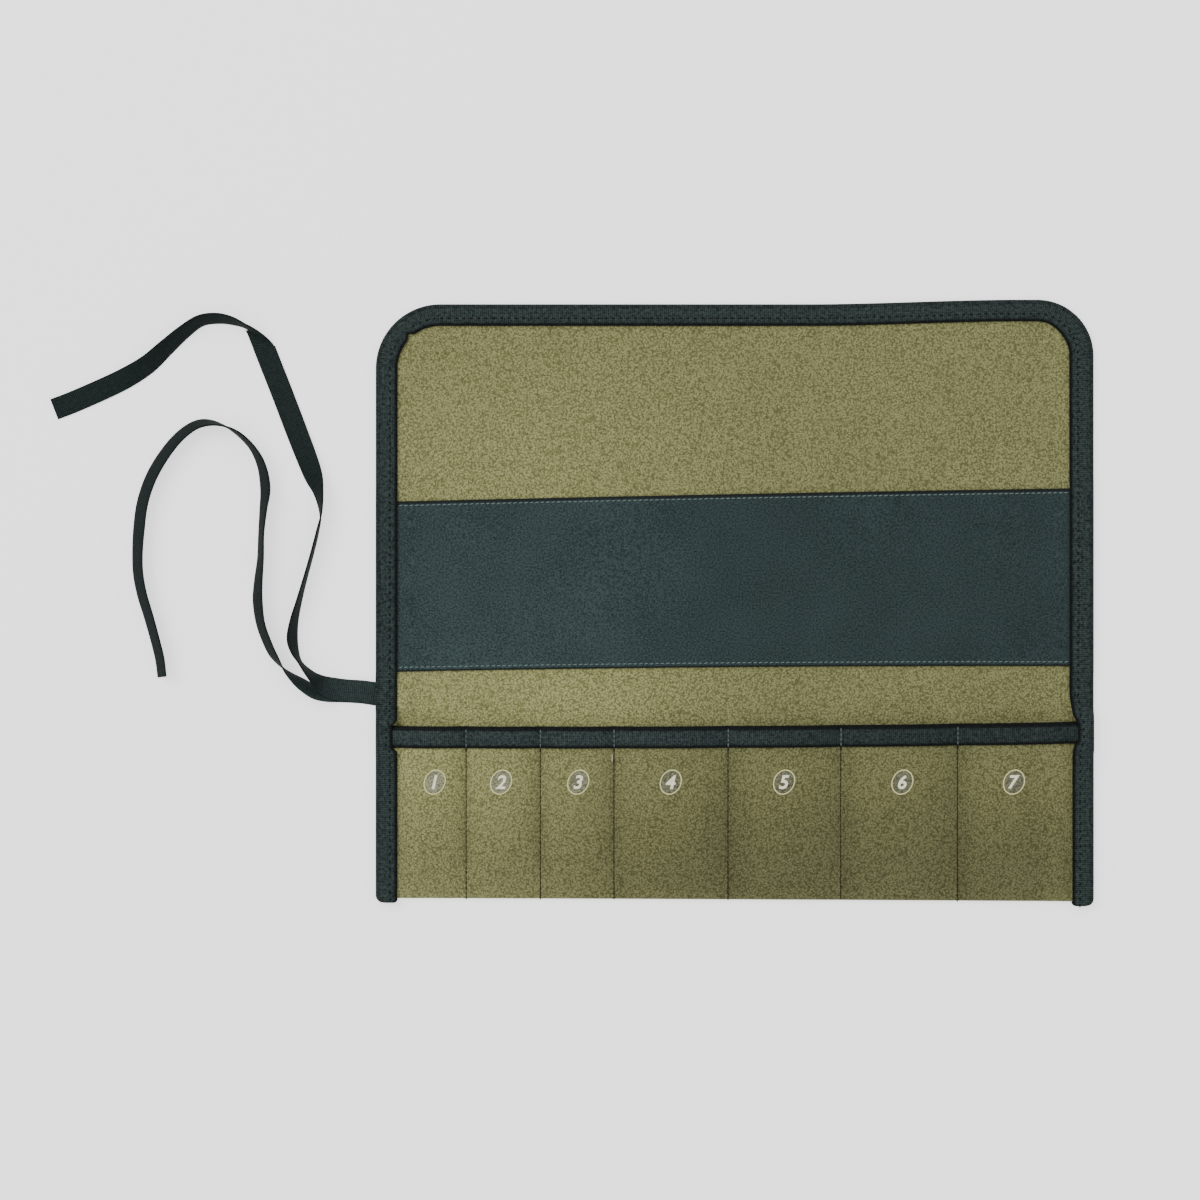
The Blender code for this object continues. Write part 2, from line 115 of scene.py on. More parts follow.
# Routes of the ties in millimetres from where they leave the edge tape: across, along,
# lean in degrees as the edge on the left of the way out rises, height of what the tie lies on.
TIE_UPPER_ROUTE = (
    (11.0, -0.8, 0, 1.3), (0.0, 0.5, 0, 1.3), (-7.5, 1.5, 0, 1.3), (-15.0, 2.0, 1, 1.7),
    (-21.5, 2.9, 10, 2.7), (-28.0, 5.1, 36, 2.8), (-33.5, 9.0, 64, 1.5), (-38.3, 13.7, 80, 0.5),
    (-41.6, 18.0, 86, 0), (-44.2, 23.5, 74, 0), (-45.6, 30.5, 66, 0), (-44.6, 40.0, 73, 0),
    (-42.0, 50.5, 81, 0), (-38.6, 63.0, 86, 0), (-34.7, 77.0, 88, 0), (-31.6, 89.5, 90, 0),
    (-29.9, 99.0, 98, 0), (-31.3, 111.0, 122, 0), (-35.3, 123.0, 158, 0), (-43.2, 143.5, 176, 0),
    (-51.4, 165.0, 178, 0), (-58.5, 183.0, 178, 0), (-62.4, 192.8, 176, 0), (-65.2, 197.6, 118, 0),
    (-70.5, 201.6, 98, 0), (-78.0, 204.8, 107, 0), (-86.5, 206.3, 114, 0), (-96.0, 205.0, 116, 0),
    (-105.0, 199.0, 122, 0), (-115.0, 190.3, 132, 0), (-125.5, 181.0, 146, 0), (-138.5, 173.2, 160, 0),
    (-153.0, 166.4, 168, 0), (-167.5, 160.2, 172, 0), (-177.0, 156.6, 173, 0),
)
TIE_LOWER_ROUTE = (
    (11.0, -1.8, 0, 0), (0.0, -0.5, 0, 0), (-7.5, 0.6, 0, 0), (-15.0, 1.1, 1, 0), (-21.5, 1.3, 9, 0),
    (-28.0, 1.0, 30, 0), (-34.0, 1.5, 54, 0), (-41.4, 6.2, 64, 0), (-47.4, 11.0, 82, 0),
    (-51.1, 14.9, 96, 0), (-54.8, 19.9, 110, 0), (-58.0, 25.3, 116, 0), (-62.8, 38.0, 118, 0),
    (-64.6, 51.0, 121, 0), (-64.2, 62.0, 117, 0), (-63.0, 74.5, 111, 0), (-62.6, 88.0, 109, 0),
    (-61.5, 101.0, 114, 0), (-60.4, 113.0, 122, 0), (-62.5, 125.5, 117, 0), (-67.8, 135.6, 107, 0),
    (-75.6, 143.2, 100, 0), (-84.6, 147.7, 85, 0), (-93.4, 148.9, 68, 0), (-100.8, 146.6, 60, 0),
    (-109.2, 139.8, 56, 0), (-117.4, 129.2, 53, 0), (-123.8, 117.5, 52, 0), (-128.0, 104.5, 52, 0),
    (-129.8, 91.0, 52, 0), (-130.6, 78.0, 55, 0), (-130.3, 66.5, 56, 0), (-128.2, 55.0, 57, 0),
    (-124.6, 43.0, 58, 0), (-121.1, 30.5, 59, 0), (-118.4, 19.5, 59, 0), (-117.1, 9.3, 60, 0),
)

# The crease where the upper tie is folded up from flat on to its edge: its two ends,
# in millimetres from where the ties leave the edge tape, and how far its bend reaches.
TIE_CREASE = ((-71.2, 199.7), (-55.9, 192.3))
TIE_CREASE_REACH = 0.0080

# Half of the outline of a tie's section: places across and up, as shares of its half width and of
# its half thickness. The other half is the same, turned round.
TIE_PROFILE = (
    (-0.90, 1), (-0.45, 1), (0.0, 1), (0.45, 1), (0.90, 1), (0.98, 0.6), (1.0, 0), (0.98, -0.6))

# How far each number stands from the middle of its pocket, as a share of the pocket's width.
NUMBER_SHIFTS = (0.030, -0.027, 0.015, -0.004, -0.007, 0.020, -0.006)

# How finely the pieces are cut up: lengths in metres, angles in degrees, and numbers of steps.
CLOTH_STEP = 0.0026
TAPE_STEP = 0.0024
TIE_STEP = 0.0014
CORNER_STEP = 4
FOLD_ANGLES = range(-67, 90, 22)
FOLD_SEAM_ANGLES = (60, 30, 0)
TURN_ANGLES = range(-72, 73, 24)
LAYER_STEPS = 7
GROOVE_STEPS = 5
BAND_STEPS = 34
FOOT_STEPS = (0, 0.0003, 0.0008, 0.0015, 0.0025)
RING_CORNERS = 64
DIGIT_STEPS = 6

# How much closer together the columns of the cloth are next to a seam, from nought to one.
SEAM_CROWDING = 0.4

# From what angle in degrees between two faces their edge is sharp.
SHARP_ANGLE = 42

# Low waves left in the cloth by rolling it up: their height, over what length they start beside
# the tape, and the most that their sines add up to.
RIPPLE = 0.0006
RIPPLE_RUN = 0.0300
RIPPLE_SUM = 1.6

# How high the tape is crowned, and at which shares of its width that ends and its free edge drops.
TAPE_CROWN = 0.00035
CROWN_END = 0.82
EDGE_DROP_START = 0.94

# The band's turned-in long edges: places in from the edge, and the share by which it is thinner.
BAND_TURN = ((0, -0.35), (0.0006, -0.05), (0.0012, 0), (0.0018, 0), (0.0024, 0))

# The painted shadow in the groove along a tape's free edge, the share of it that is darkest, and the
# painted shade at the tape's turn.
GROOVE_WIDTH = 0.0019
GROOVE_SHADOW_TONE = 0.12
GROOVE_DARKEST = 0.35
TURN_SHADE_RUN = 0.0011
EDGE_TURN_SHADE = 0.70
MOUTH_TURN_SHADE = 0.18

# How much wider the upper layer of the edge tape lies on the right, how far above the mouth that
# starts and is full, and over how many degrees of the corner it goes again.
RIGHT_SPREAD = 0.0015
RIGHT_SPREAD_SPAN = (0.004, 0.016)
RIGHT_SPREAD_ANGLE = 60

# How much narrower the edge tape's upper layer is beside the mouth tape, and over what length.
MOUTH_PINCH = 0.0026
MOUTH_PINCH_RUN = 0.002

# How light the ties are beside the folded tape, and how much painted shade darkens them where
# they stand on edge.
TIE_TONE = 0.68
TIE_LEAN_SHADE = 0.46

# Painted light where each tie lies open to the light: from where to where along it, over what
# length that comes and goes, and by how much.
TIE_PAINTED_LIGHT = {
    "tie_upper": ((-0.020, 0.038, 0.006, 0.7),),
    "tie_lower": ((-0.020, 0.038, 0.006, 0.7), (0.045, 0.060, 0.014, 1.5)),
}

# How far across the edge tape its stitches lie.
EDGE_STITCH_SHARE = 0.66

# Radii that round the outer and the inner corner of the edge tape's two feet.
FOOT_RADII = (0.0040, 0.0018)

# From where down, and over what distance, the painted light and shade on the back panel and the
# band change.
BACK_TONE_TOP = 0.1440
BACK_TONE_RUN = 0.1970

# Their tone at the top and lowest down, first on the left and then on the right, and between
# which places across the one changes into the other.
BACK_TONES = ((0.83, 1.08), (0.77, 0.74))
BACK_TONE_SPAN = (-0.105, 0.035)

# The painted shade along the band's turned-in long edges: its tone, how far in that lightens,
# and how much narrower it is below.
BAND_EDGE_SHADE = 0.20
BAND_EDGE_SPAN = (0.0010, 0.0022)
BAND_LOW_EDGE = 1.8

# The tone of the pockets' fronts on the left and on the darker right, and where it changes; the
# painted shade and light of the fronts' slope at the fold and at the mouth, and between which
# shares of the depth it changes.
POCKET_TONES = (0.865, 0.490)
POCKET_DARKER_SPAN = (-0.19, 0.01)
DEPTH_TONES = (0.89, 1.26)
DEPTH_SPAN = (0.15, 0.90)

# How much painted highlight lightens the fronts at the fold and how much painted shadow darkens
# them on the right of a seam, each with the share of the pocket that it takes, how much painted
# shade darkens them towards the next seam, and how much lighter they are at the right edge tape.
FOLD_LIGHT = (0.09, 0.08)
SEAM_SHADE = (0.20, 0.22)
FAR_SHADE = 0.06
FAR_SHADE_SPAN = (0.4, 1.0)
RIGHT_LIGHT = 0.18
RIGHT_LIGHT_SPAN = (0.162, 0.178)

# The mouth tape's tone on the left and on the right, and where it changes.
MOUTH_TONES = (1.14, 0.80)
MOUTH_TONE_SPAN = (-0.12, 0.12)

# From one rib of the tape to the next along it, and from one thread to the next across it.
RIB_PITCH = 0.0011
WEAVE_PITCH = 0.0014

# Stitches of their own size: their length, the distance from one to the next, the thread's width.
OWN_STITCHES = {
    "edge_stitches": (0.0017, 0.0041, 0.0010),
    "seam_stitches": (0.0030, 0.0028, 0.0008),
    "back_tacks": (0.0022, 0.0020, 0.0013),
    "loose_thread_end": (0.0050, 0.0055, 0.0006),
    "mouth_stitches": (0.0023, 0.0026, 0.0006),
}

# How far the band's stitches are turned off their line in degrees, and how high a stitch is for
# its width.
BAND_STITCH_TURN = 8
STITCH_HEIGHT_SHARE = 0.8

# Which points of the last pocket seam its lower back tack lies on.
LOW_TACK = slice(-8, -6)

# The loose thread end: which seam it lies beside, how far left of it and below the mouth tape it
# starts, how long it is, and how bright beside the print.
LOOSE_END_SEAM = 3
LOOSE_END_PLACE = (0.0010, 0.0030)
LOOSE_END_LENGTH = 0.0055
LOOSE_END_TONE = 0.7

# How the flat print is cut up before it is laid on the cloth: how far from its middle, how far
# apart, and how near two points have to be to be welded.
PRINT_REACH = 0.008
PRINT_CUT = 0.001
PRINT_WELD = 0.00002

# How far the rings slant, and of the numbers: the height as a share of the font's size, the slant
# and the boldness.
RING_SLANT = 0.14
DIGIT_SHARE = 0.72
DIGIT_SLANT = 0.22
DIGIT_BOLDNESS = 0.026

# The camera's sensor in millimetres, and its far limit, the floor and the soft lamp in metres.
SENSOR_WIDTH = 36
FAR_CLIP = 20
FLOOR_SIZE = 6
FLOOR_LEVEL = -0.0002
LAMP_PLACE = (-2.2, 1.6, 3.4)
LAMP_SIZE = 2.4


def measure(name, description, default):
    return FloatProperty(
        name=name, description=description, default=default, min=0, precision=5, unit="LENGTH")


def colour(name, description, default):
    return FloatVectorProperty(
        name=name, description=description, default=default, size=3, min=0, max=1, subtype="COLOR")


class RollSizes(bpy.types.PropertyGroup):
    """Sizes of the cloth and the tapes."""

    width: measure("Width", "Width of the open roll over its edge tape", ROLL_WIDTH)
    length: measure("Length", "Length of the open roll over its edge tape", ROLL_LENGTH)
    cloth: measure("Cloth", "Thickness of the khaki cloth", 0.0012)
    band: measure("Band", "Thickness of the dark band", 0.0010)
    tape: measure("Tape", "Thickness of the folded tape and of the ties", 0.0010)
    tape_width: measure("Tape width", "Width of the folded tape on each side", 0.0120)
    tie_width: measure("Tie width", "Width of the two ties", 0.0120)
    pocket_depth: measure("Pocket depth", "From the folded edge to the pockets' mouth", 0.0957)
    pocket_bulge: measure("Pocket bulge", "How far a pocket's front stands off", 0.0056)
    band_rise: measure("Band rise", "From the folded edge to the band", 0.1279)
    band_height: measure("Band height", "Height of the band", 0.0951)


class RollColours(bpy.types.PropertyGroup):
    """Colours of the cloth, tapes, threads and print."""

    cloth_light: colour("Cloth, light", "Raised nap of the khaki cloth", (0.396, 0.401, 0.175))
    cloth_dark: colour("Cloth, dark", "Ground of the khaki cloth", (0.152, 0.152, 0.054))
    cloth_fleck: colour("Cloth, flecks", "Dark flecks of the khaki cloth", (0.070, 0.066, 0.022))
    cloth_light_veiled: colour(
        "Cloth under a number, light", "Raised nap greyed by the print", (0.385, 0.390, 0.235))
    cloth_dark_veiled: colour(
        "Cloth under a number, dark", "Ground greyed by the print", (0.150, 0.150, 0.090))
    band_light: colour("Band, light", "Light threads of the band", (0.0470, 0.0750, 0.0760))
    band_dark: colour("Band, dark", "Ground of the band", (0.0095, 0.0215, 0.0235))
    tape_light: colour("Tape, light", "Ribs of the tape", (0.050, 0.072, 0.068))
    tape_dark: colour("Tape, dark", "Ground of the tape", (0.002, 0.006, 0.006))
    thread_light: colour("Thread, light", "Grey-green thread", (0.190, 0.255, 0.245))
    # The dark thread's colour is partly its own and partly painted shadow in the seam's groove.
    thread_dark: colour("Thread, dark", "Dark thread of the pocket seams", (0.018, 0.015, 0.005))
    # Painted shadow: the edge tape's stitches take the dark of the shade in their holes.
    thread_hole_shadow: colour("Thread, holes", "Holes of the edge tape's stitches", (0.003, 0.004, 0.004))
    print: colour("Print, numbers", "The printed numbers", (1.000, 0.980, 0.740))
    print_ring: colour("Print, rings", "The printed rings", (0.740, 0.720, 0.350))


class StitchSizes(bpy.types.PropertyGroup):
    """Sizes of the stitches."""

    pitch: measure("Pitch", "From one stitch to the next", 0.0030)
    length: measure("Length", "Length of a stitch", 0.0023)
    width: measure("Width", "Width of the thread", 0.0006)
    inset: measure("Inset", "From the sewn edge to its stitches", 0.0023)


class NumberSizes(bpy.types.PropertyGroup):
    """Sizes of the printed numbers."""

    ring_width: measure("Ring width", "Width of the ring round a number", 0.0120)
    ring_height: measure("Ring height", "Height of the ring round a number", 0.0138)
    stroke: measure("Stroke", "Width of the ring's line", 0.0006)
    digit_height: measure("Number height", "Height of a number", 0.0077)
    below_mouth: measure("Below the mouth", "From the pockets' mouth to the numbers", 0.0307)
    thickness: measure("Thickness", "How far the print stands proud", 0.0001)


class StageSizes(bpy.types.PropertyGroup):
    """The camera's view, the floor and the light."""

    view_width: measure("View width", "Width that the camera sees on the table", 0.6600)
    view_height: measure("View height", "Height of the surface that the camera is set for", 0.0025)
    view_x: FloatProperty(
        name="View X", description="Middle of the view across", default=-0.0741, unit="LENGTH")
    view_y: FloatProperty(
        name="View Y", description="Middle of the view along", default=0.0015, unit="LENGTH")
    lens: FloatProperty(name="Lens", description="Focal length in millimetres", default=100, min=1)
    sky: FloatProperty(name="Sky", description="Strength of the light from all round", default=0.84, min=0)
    lamp: FloatProperty(
        name="Lamp", description="Power of the soft lamp", default=76, min=0, unit="POWER")
    glow: FloatProperty(
        name="Glow", description="How brightly the floor is lit from below", default=1.2, min=0)
    floor: colour("Floor", "Colour of the floor", (0.92, 0.92, 0.92))


SETTINGS = {
    "tool_roll_sizes": RollSizes,
    "tool_roll_colours": RollColours,
    "tool_roll_stitches": StitchSizes,
    "tool_roll_numbers": NumberSizes,
    "tool_roll_stage": StageSizes,
}


def smooth_step(value):
    share = min(max(value, 0.0), 1.0)
    return share * share * (3 - 2 * share)


def turned(angle):
    """Cosine and sine of an angle in degrees."""
    return math.cos(math.radians(angle)), math.sin(math.radians(angle))


def rise_between(value, start, end):
    """Nought up to the start, one from the end on, and smoothly between."""
    return smooth_step((value - start) / (end - start))


def mixed(first, last, share):
    return first + (last - first) * share


def plateau(value, low, high, run):
    """One between low and high, falling smoothly to nought over the run beyond each."""
    beyond = max(low - value, value - high, 0.0)
    return smooth_step(1 - beyond / run)


def shares(count):
    return [number / count for number in range(count + 1)]


def steps_between(start, end, step):
    """Evenly spaced values from start to end, both included, about a step apart."""
    count = max(round(abs(end - start) / step), 1)
    return [mixed(start, end, share) for share in shares(count)]


class Roll:
    """Where each surface of the open roll lies, worked out from its sizes."""

    def __init__(self, sizes):
        self.half_width = sizes.width / 2
        self.length = sizes.length
        self.top = sizes.length / 2
        self.bottom = -sizes.length / 2
        self.cloth, self.band, self.tape = sizes.cloth, sizes.band, sizes.tape
        self.tape_width, self.tie_width = sizes.tape_width, sizes.tie_width
        self.bulge = sizes.pocket_bulge
        self.cloth_inset = TAPE_TURN + SEWN_GAP
        self.cloth_width = 2 * (self.half_width - self.cloth_inset)
        self.lift_edge = self.tape_width + TAPE_CLEARANCE
        self.tape_lift = self.tape + SEWN_GAP
        self.tie_lift = 2 * self.tape_lift
        fold = self.bottom + TAPE_OVERHANG - LINE_ENDS["fold"][1] * self.length
        self.heights = {
            "fold": fold,
            "mouth": fold + sizes.pocket_depth,
            "band_low": fold + sizes.band_rise,
            "band_high": fold + sizes.band_rise + sizes.band_height,
        }
        self.root = Vector((-self.half_width, self.line(-self.half_width, "mouth") + TIE_ABOVE_MOUTH))

    def line(self, x, name):
        """Height of a line across the roll, curved through its left end, middle and right end."""
        left, right = LINE_ENDS[name]
        share = x / self.half_width
        bow = (left + right) / 2 * share * share + (right - left) / 2 * share
        return self.heights[name] + bow * self.length

    def top_edge(self, x):
        return self.top - TOP_EDGE_DROP * (1 - rise_between(x / self.half_width, *TOP_EDGE_CLIMB))

    def edge_inset(self, x, y):
        """Distance in from the taped outline."""
        left, right, top = x + self.half_width, self.half_width - x, self.top_edge(x) - y
        for side, radius in ((left, LEFT_CORNER_RADIUS), (right, RIGHT_CORNER_RADIUS)):
            if side < radius and top < radius:
                return radius - math.hypot(radius - side, radius - top)
        return min(left, right, top)

    def tie_bump(self, x, y):
        """Lift of the left edge where it lies on the ends of the two ties."""
        if x > 0:
            return 0.0
        half = self.tie_width / 2 + TAPE_CLEARANCE
        return self.tie_lift * plateau(y, self.root.y - half, self.root.y + half, TIE_STEP_RUN)

    def ripple(self, x, y):
        """Low, wide waves of cloth that has been rolled up and laid out again."""
        inside = smooth_step((self.edge_inset(x, y) - self.lift_edge) / RIPPLE_RUN)
        # Each wave turns by so many radians a metre across and along.
        crossed = math.sin(41 * x + 1.3) * math.sin(27 * y + 0.4)
        waves = crossed + (RIPPLE_SUM - 1) * math.sin(19 * x - 33 * y)
        return RIPPLE * inside * (RIPPLE_SUM + waves) / (2 * RIPPLE_SUM)

    def back_under(self, x, y):
        sag = smooth_step((self.edge_inset(x, y) - self.lift_edge) / SAG_RUN)
        return (1 - sag) * (self.tape_lift + self.tie_bump(x, y)) + self.ripple(x, y)

    def back_top(self, x, y):
        return self.back_under(x, y) + self.cloth

    def pocket_bounds(self):
        inner = 2 * (self.half_width - self.tape_width)
        seams = [self.tape_width - self.half_width + share * inner for share in SEAM_SHARES]
        return [self.lift_edge - self.half_width] + seams + [self.half_width - self.lift_edge]

    def pocket_share(self, x, y):
        """How far across its pocket a place is, and how far up the front, as shares."""
        bounds = self.pocket_bounds()
        for left, right in zip(bounds, bounds[1:]):
            if left < x < right:
                fold = self.line(x, "fold")
                return (x - left) / (right - left), (y - fold) / (self.line(x, "mouth") - fold)
        return None

    def pocket_bulge(self, x, y):
        """How far a pocket's front stands off between its seams."""
        place = self.pocket_share(x, y)
        if place is None:
            return 0.0
        across, along = place
        rise = mixed(FOLD_BULGE_SHARE, 1, smooth_step(along / BULGE_RUN_SHARE))
        return self.bulge * (1 - abs(2 * across - 1) ** BULGE_POWER) * rise

    def mouth_tape_under(self, x, y):
        return self.back_top(x, y) + SEWN_GAP + self.pocket_bulge(x, y)

    def mouth_tape_top(self, x, y):
        return self.mouth_tape_under(x, y) + 2 * self.tape_lift + self.cloth

    def front_under(self, x, y):
        mouth = self.line(x, "mouth")
        low = mouth - self.tape_width - TAPE_CLEARANCE
        on_tape = self.tape_lift * plateau(y, low, mouth, STEP_RUN)
        return self.back_top(x, y) + SEWN_GAP + on_tape + self.pocket_bulge(x, y)

    def front_top(self, x, y):
        return self.front_under(x, y) + self.cloth

    def band_top(self, x, y):
        return self.back_top(x, y) + SEWN_GAP + self.band

    def side_stack_top(self, x, y):
        """Top of all that lies between the two layers of the edge tape."""
        front = SEWN_GAP + self.cloth
        wrapped = front + 2 * self.tape_lift
        band = SEWN_GAP + self.band
        mouth = self.line(x, "mouth")
        low, high = self.line(x, "band_low"), self.line(x, "band_high")
        tape_foot = mouth - self.tape_width - TAPE_CLEARANCE
        return self.back_top(x, y) + max(
            front * plateau(y, self.bottom, mouth + TAPE_CLEARANCE, STEP_RUN),
            wrapped * plateau(y, tape_foot - TAPE_CLEARANCE, mouth + TAPE_CLEARANCE, STEP_RUN),
            band * plateau(y, low - TAPE_CLEARANCE, high + TAPE_CLEARANCE, STEP_RUN))

    def edge_tape_high(self, x, y):
        return self.side_stack_top(x, y) + self.tape_lift

    def crown(self, inset, width):
        """How the tape rises between its turn and its stitches, and drops at its free edge."""
        share = (inset - TAPE_TURN) / (width - TAPE_TURN)
        rise = math.sin(math.pi * min(max(share / CROWN_END, 0), 1))
        drop = max(share - EDGE_DROP_START, 0) / (1 - EDGE_DROP_START) / 2
        return TAPE_CROWN * (rise - drop)


def deselect_all():
    for thing in bpy.context.selected_objects:
        thing.select_set(False)


def finish_piece(piece, material, slot, replaced=()):
    """Gives a piece its material and its body, and hides the solids that it stands for.
    The slot is not used.
    """
    piece.data.materials.clear()
    piece.data.materials.append(material)
    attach(piece, "root")
    if replaced:
        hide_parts(*replaced)


def place_in_mesh(piece):
    """Moves the object's place into its mesh, so that the object sits at the origin."""
    piece.data.transform(piece.matrix_world)
    piece.matrix_world = Matrix.Identity(4)


def new_piece(name, vertices, faces):
    """A smooth object at the origin, made of those faces."""
    mesh = bpy.data.meshes.new(name)
    mesh.from_pydata(vertices, [], faces)
    mesh.shade_smooth()
    piece = bpy.data.objects.new(name, mesh)
    bpy.context.scene.collection.objects.link(piece)
    return piece


def face_outwards(mesh):
    """Turns the faces of a closed mesh outwards and marks its sharp edges."""
    shape = bmesh.new()
    shape.from_mesh(mesh)
    bmesh.ops.recalc_face_normals(shape, faces=shape.faces[:])
    shape.to_mesh(mesh)
    shape.free()
    mesh.set_sharp_from_angle(angle=math.radians(SHARP_ANGLE))


def steps_along(points):
    """How far along its line each point lies."""
    gaps = np.linalg.norm(np.diff(points, axis=0), axis=-1)
    return np.concatenate([np.zeros((1, *gaps.shape[1:])), np.cumsum(gaps, axis=0)])


def new_shell(name, rows):
    """A closed wall, with a UV map in metres: along, across. The rows give, from place to place,
    a point of its outer face and one of its inner face."""
    outer, inner = (np.array([[place[face] for place in row] for row in rows]) for face in (0, 1))
    rows, columns = outer.shape[:2]
    grid = np.arange(rows * columns).reshape(rows, columns)
    border = np.concatenate([grid[0, :], grid[1:, -1], grid[-1, -2::-1], grid[-2:0:-1, 0]])
    following = np.roll(border, -1)
    layer = np.stack([grid[:-1, :-1], grid[:-1, 1:], grid[1:, 1:], grid[1:, :-1]], -1).reshape(-1, 4)
    inside = rows * columns
    rim = np.stack([border, border + inside, following + inside, following], -1)
    faces = np.concatenate([layer, layer[:, ::-1] + inside, rim])
    points = np.concatenate([outer.reshape(-1, 3), inner.reshape(-1, 3)])
    piece = new_piece(name, points.tolist(), faces.tolist())
    mesh = piece.data

    along = np.repeat(steps_along(outer.mean(axis=1))[:, None], columns, axis=1)
    across = steps_along(outer.swapaxes(0, 1)).T
    places = np.stack([along, across], -1).reshape(-1, 2)
    loops = np.zeros(len(mesh.loops), int)
    mesh.loops.foreach_get("vertex_index", loops)
    mesh.uv_layers.new(name="UVMap").uv.foreach_set("vector", np.tile(places, (2, 1))[loops].ravel())
    face_outwards(mesh)
    return piece


def set_tone(piece, tones):
    """Writes how light a piece is at each point, painted shade and light too, for its material."""
    piece.data.attributes.new("tone", "FLOAT", "POINT").data.foreach_set("value", tones)


def cloth_columns(roll):
    """Places across the roll for the columns of the sheets, closer together next to a seam."""
    edge = roll.half_width - roll.cloth_inset
    bounds = roll.pocket_bounds()
    columns = steps_between(-edge, bounds[0], CLOTH_STEP)[:-1]
    for left, right in zip(bounds, bounds[1:]):
        count = round((right - left) / CLOTH_STEP)
        for share in shares(count)[:-1]:
            eased = mixed(share, (1 - math.cos(math.pi * share)) / 2, SEAM_CROWDING)
            columns.append(mixed(left, right, eased))
    return columns + steps_between(bounds[-1], edge, CLOTH_STEP)


def cloth_rows(roll, columns):
    """The khaki cloth as rows of (outer point, inner point): the back panel down to the fold,
    round the fold and up the pockets' front."""
    def back_pair(x, y):
        under = roll.back_under(x, y)
        return (x, y, under), (x, y, under + roll.cloth)

    left_edge, right_edge = columns[0], columns[-1]
    rows = []
    for angle in range(90, -1, -CORNER_STEP):
        out, up = turned(angle)
        ends = []
        for side, radius in ((-1, LEFT_CORNER_RADIUS), (1, RIGHT_CORNER_RADIUS)):
            centre_x = side * (roll.half_width - radius)
            centre_y = roll.top_edge(centre_x) - radius
            reach = radius - roll.cloth_inset
            ends.append((centre_x + side * reach * out, centre_y + reach * up))
        (left_x, left_y), (right_x, right_y) = ends
        row = []
        for column in columns:
            share = (column - left_edge) / (right_edge - left_edge)
            x = mixed(left_x, right_x, share)
            left_drop = roll.top_edge(left_x) - roll.top_edge(right_x)
            y = right_y + (1 - share) * (left_y - right_y - left_drop)
            y += roll.top_edge(x) - roll.top_edge(right_x)
            row.append(back_pair(x, y))
        rows.append(row)

    corner_foot = roll.top - TOP_EDGE_DROP - max(LEFT_CORNER_RADIUS, RIGHT_CORNER_RADIUS)
    for share in shares(round((corner_foot - roll.heights["fold"]) / CLOTH_STEP))[1:]:
        rows.append([
            back_pair(x, mixed(corner_foot, roll.line(x, "fold") + roll.cloth, share)) for x in columns])

    for angle in FOLD_ANGLES:
        out, up = turned(angle)
        row = []
        for x in columns:
            fold = roll.line(x, "fold")
            inner = (SEWN_GAP + roll.pocket_bulge(x, fold)) / 2
            centre_y, centre_z = fold + inner + roll.cloth, roll.back_top(x, fold) + inner
            reach = inner + roll.cloth
            row.append((
                (x, centre_y - reach * out, centre_z + reach * up),
                (x, centre_y - inner * out, centre_z + inner * up)))
        rows.append(row)

    for share in shares(round((roll.heights["mouth"] - roll.heights["fold"]) / CLOTH_STEP)):
        row = []
        for x in columns:
            foot, head = roll.line(x, "fold") + 2 * roll.cloth, roll.line(x, "mouth") - roll.cloth_inset
            y = mixed(foot, head, share)
            row.append(((x, y, roll.front_top(x, y)), (x, y, roll.front_under(x, y))))
        rows.append(row)
    return rows


def tape_section(roll, width_below, width_above, low, high, turn_shade):
    """Places across a folded tape: inset and height of its outer face and of its inner face,
    and its tone, with painted shade on its lower layer and round the turn, and a painted shadow in
    the groove beside its free edge.

    low and high give the heights of its two outer faces at an inset.
    """
    wall = roll.tape
    section = []
    for share in shares(LAYER_STEPS):
        inset = mixed(width_below, TAPE_TURN, share)
        section.append((inset, low(inset), inset, low(inset) + wall, turn_shade))
    bottom, top = low(TAPE_TURN), high(TAPE_TURN)
    centre, half = (bottom + top) / 2, (top - bottom) / 2
    for angle in TURN_ANGLES:
        out, up = turned(angle)
        section.append((
            TAPE_TURN * (1 - out), centre + half * up,
            TAPE_TURN - (TAPE_TURN - wall) * out, centre + (half - wall) * up, turn_shade))
    groove = width_above - GROOVE_WIDTH
    insets = [mixed(TAPE_TURN, groove, share) for share in shares(2 * LAYER_STEPS)]
    insets += [groove + GROOVE_WIDTH * share for share in shares(GROOVE_STEPS)[1:]]
    for inset in insets:
        rise = high(inset) + roll.crown(inset, width_above)
        from_turn = smooth_step((inset - TAPE_TURN) / TURN_SHADE_RUN)
        from_edge = smooth_step((width_above - inset) / GROOVE_WIDTH - GROOVE_DARKEST)
        # Painted shade round the turn, and painted shadow in the groove by the free edge.
        tone = min(mixed(turn_shade, 1, from_turn), mixed(GROOVE_SHADOW_TONE, 1, from_edge))
        section.append((inset, rise, inset, rise - wall, tone))
    return section


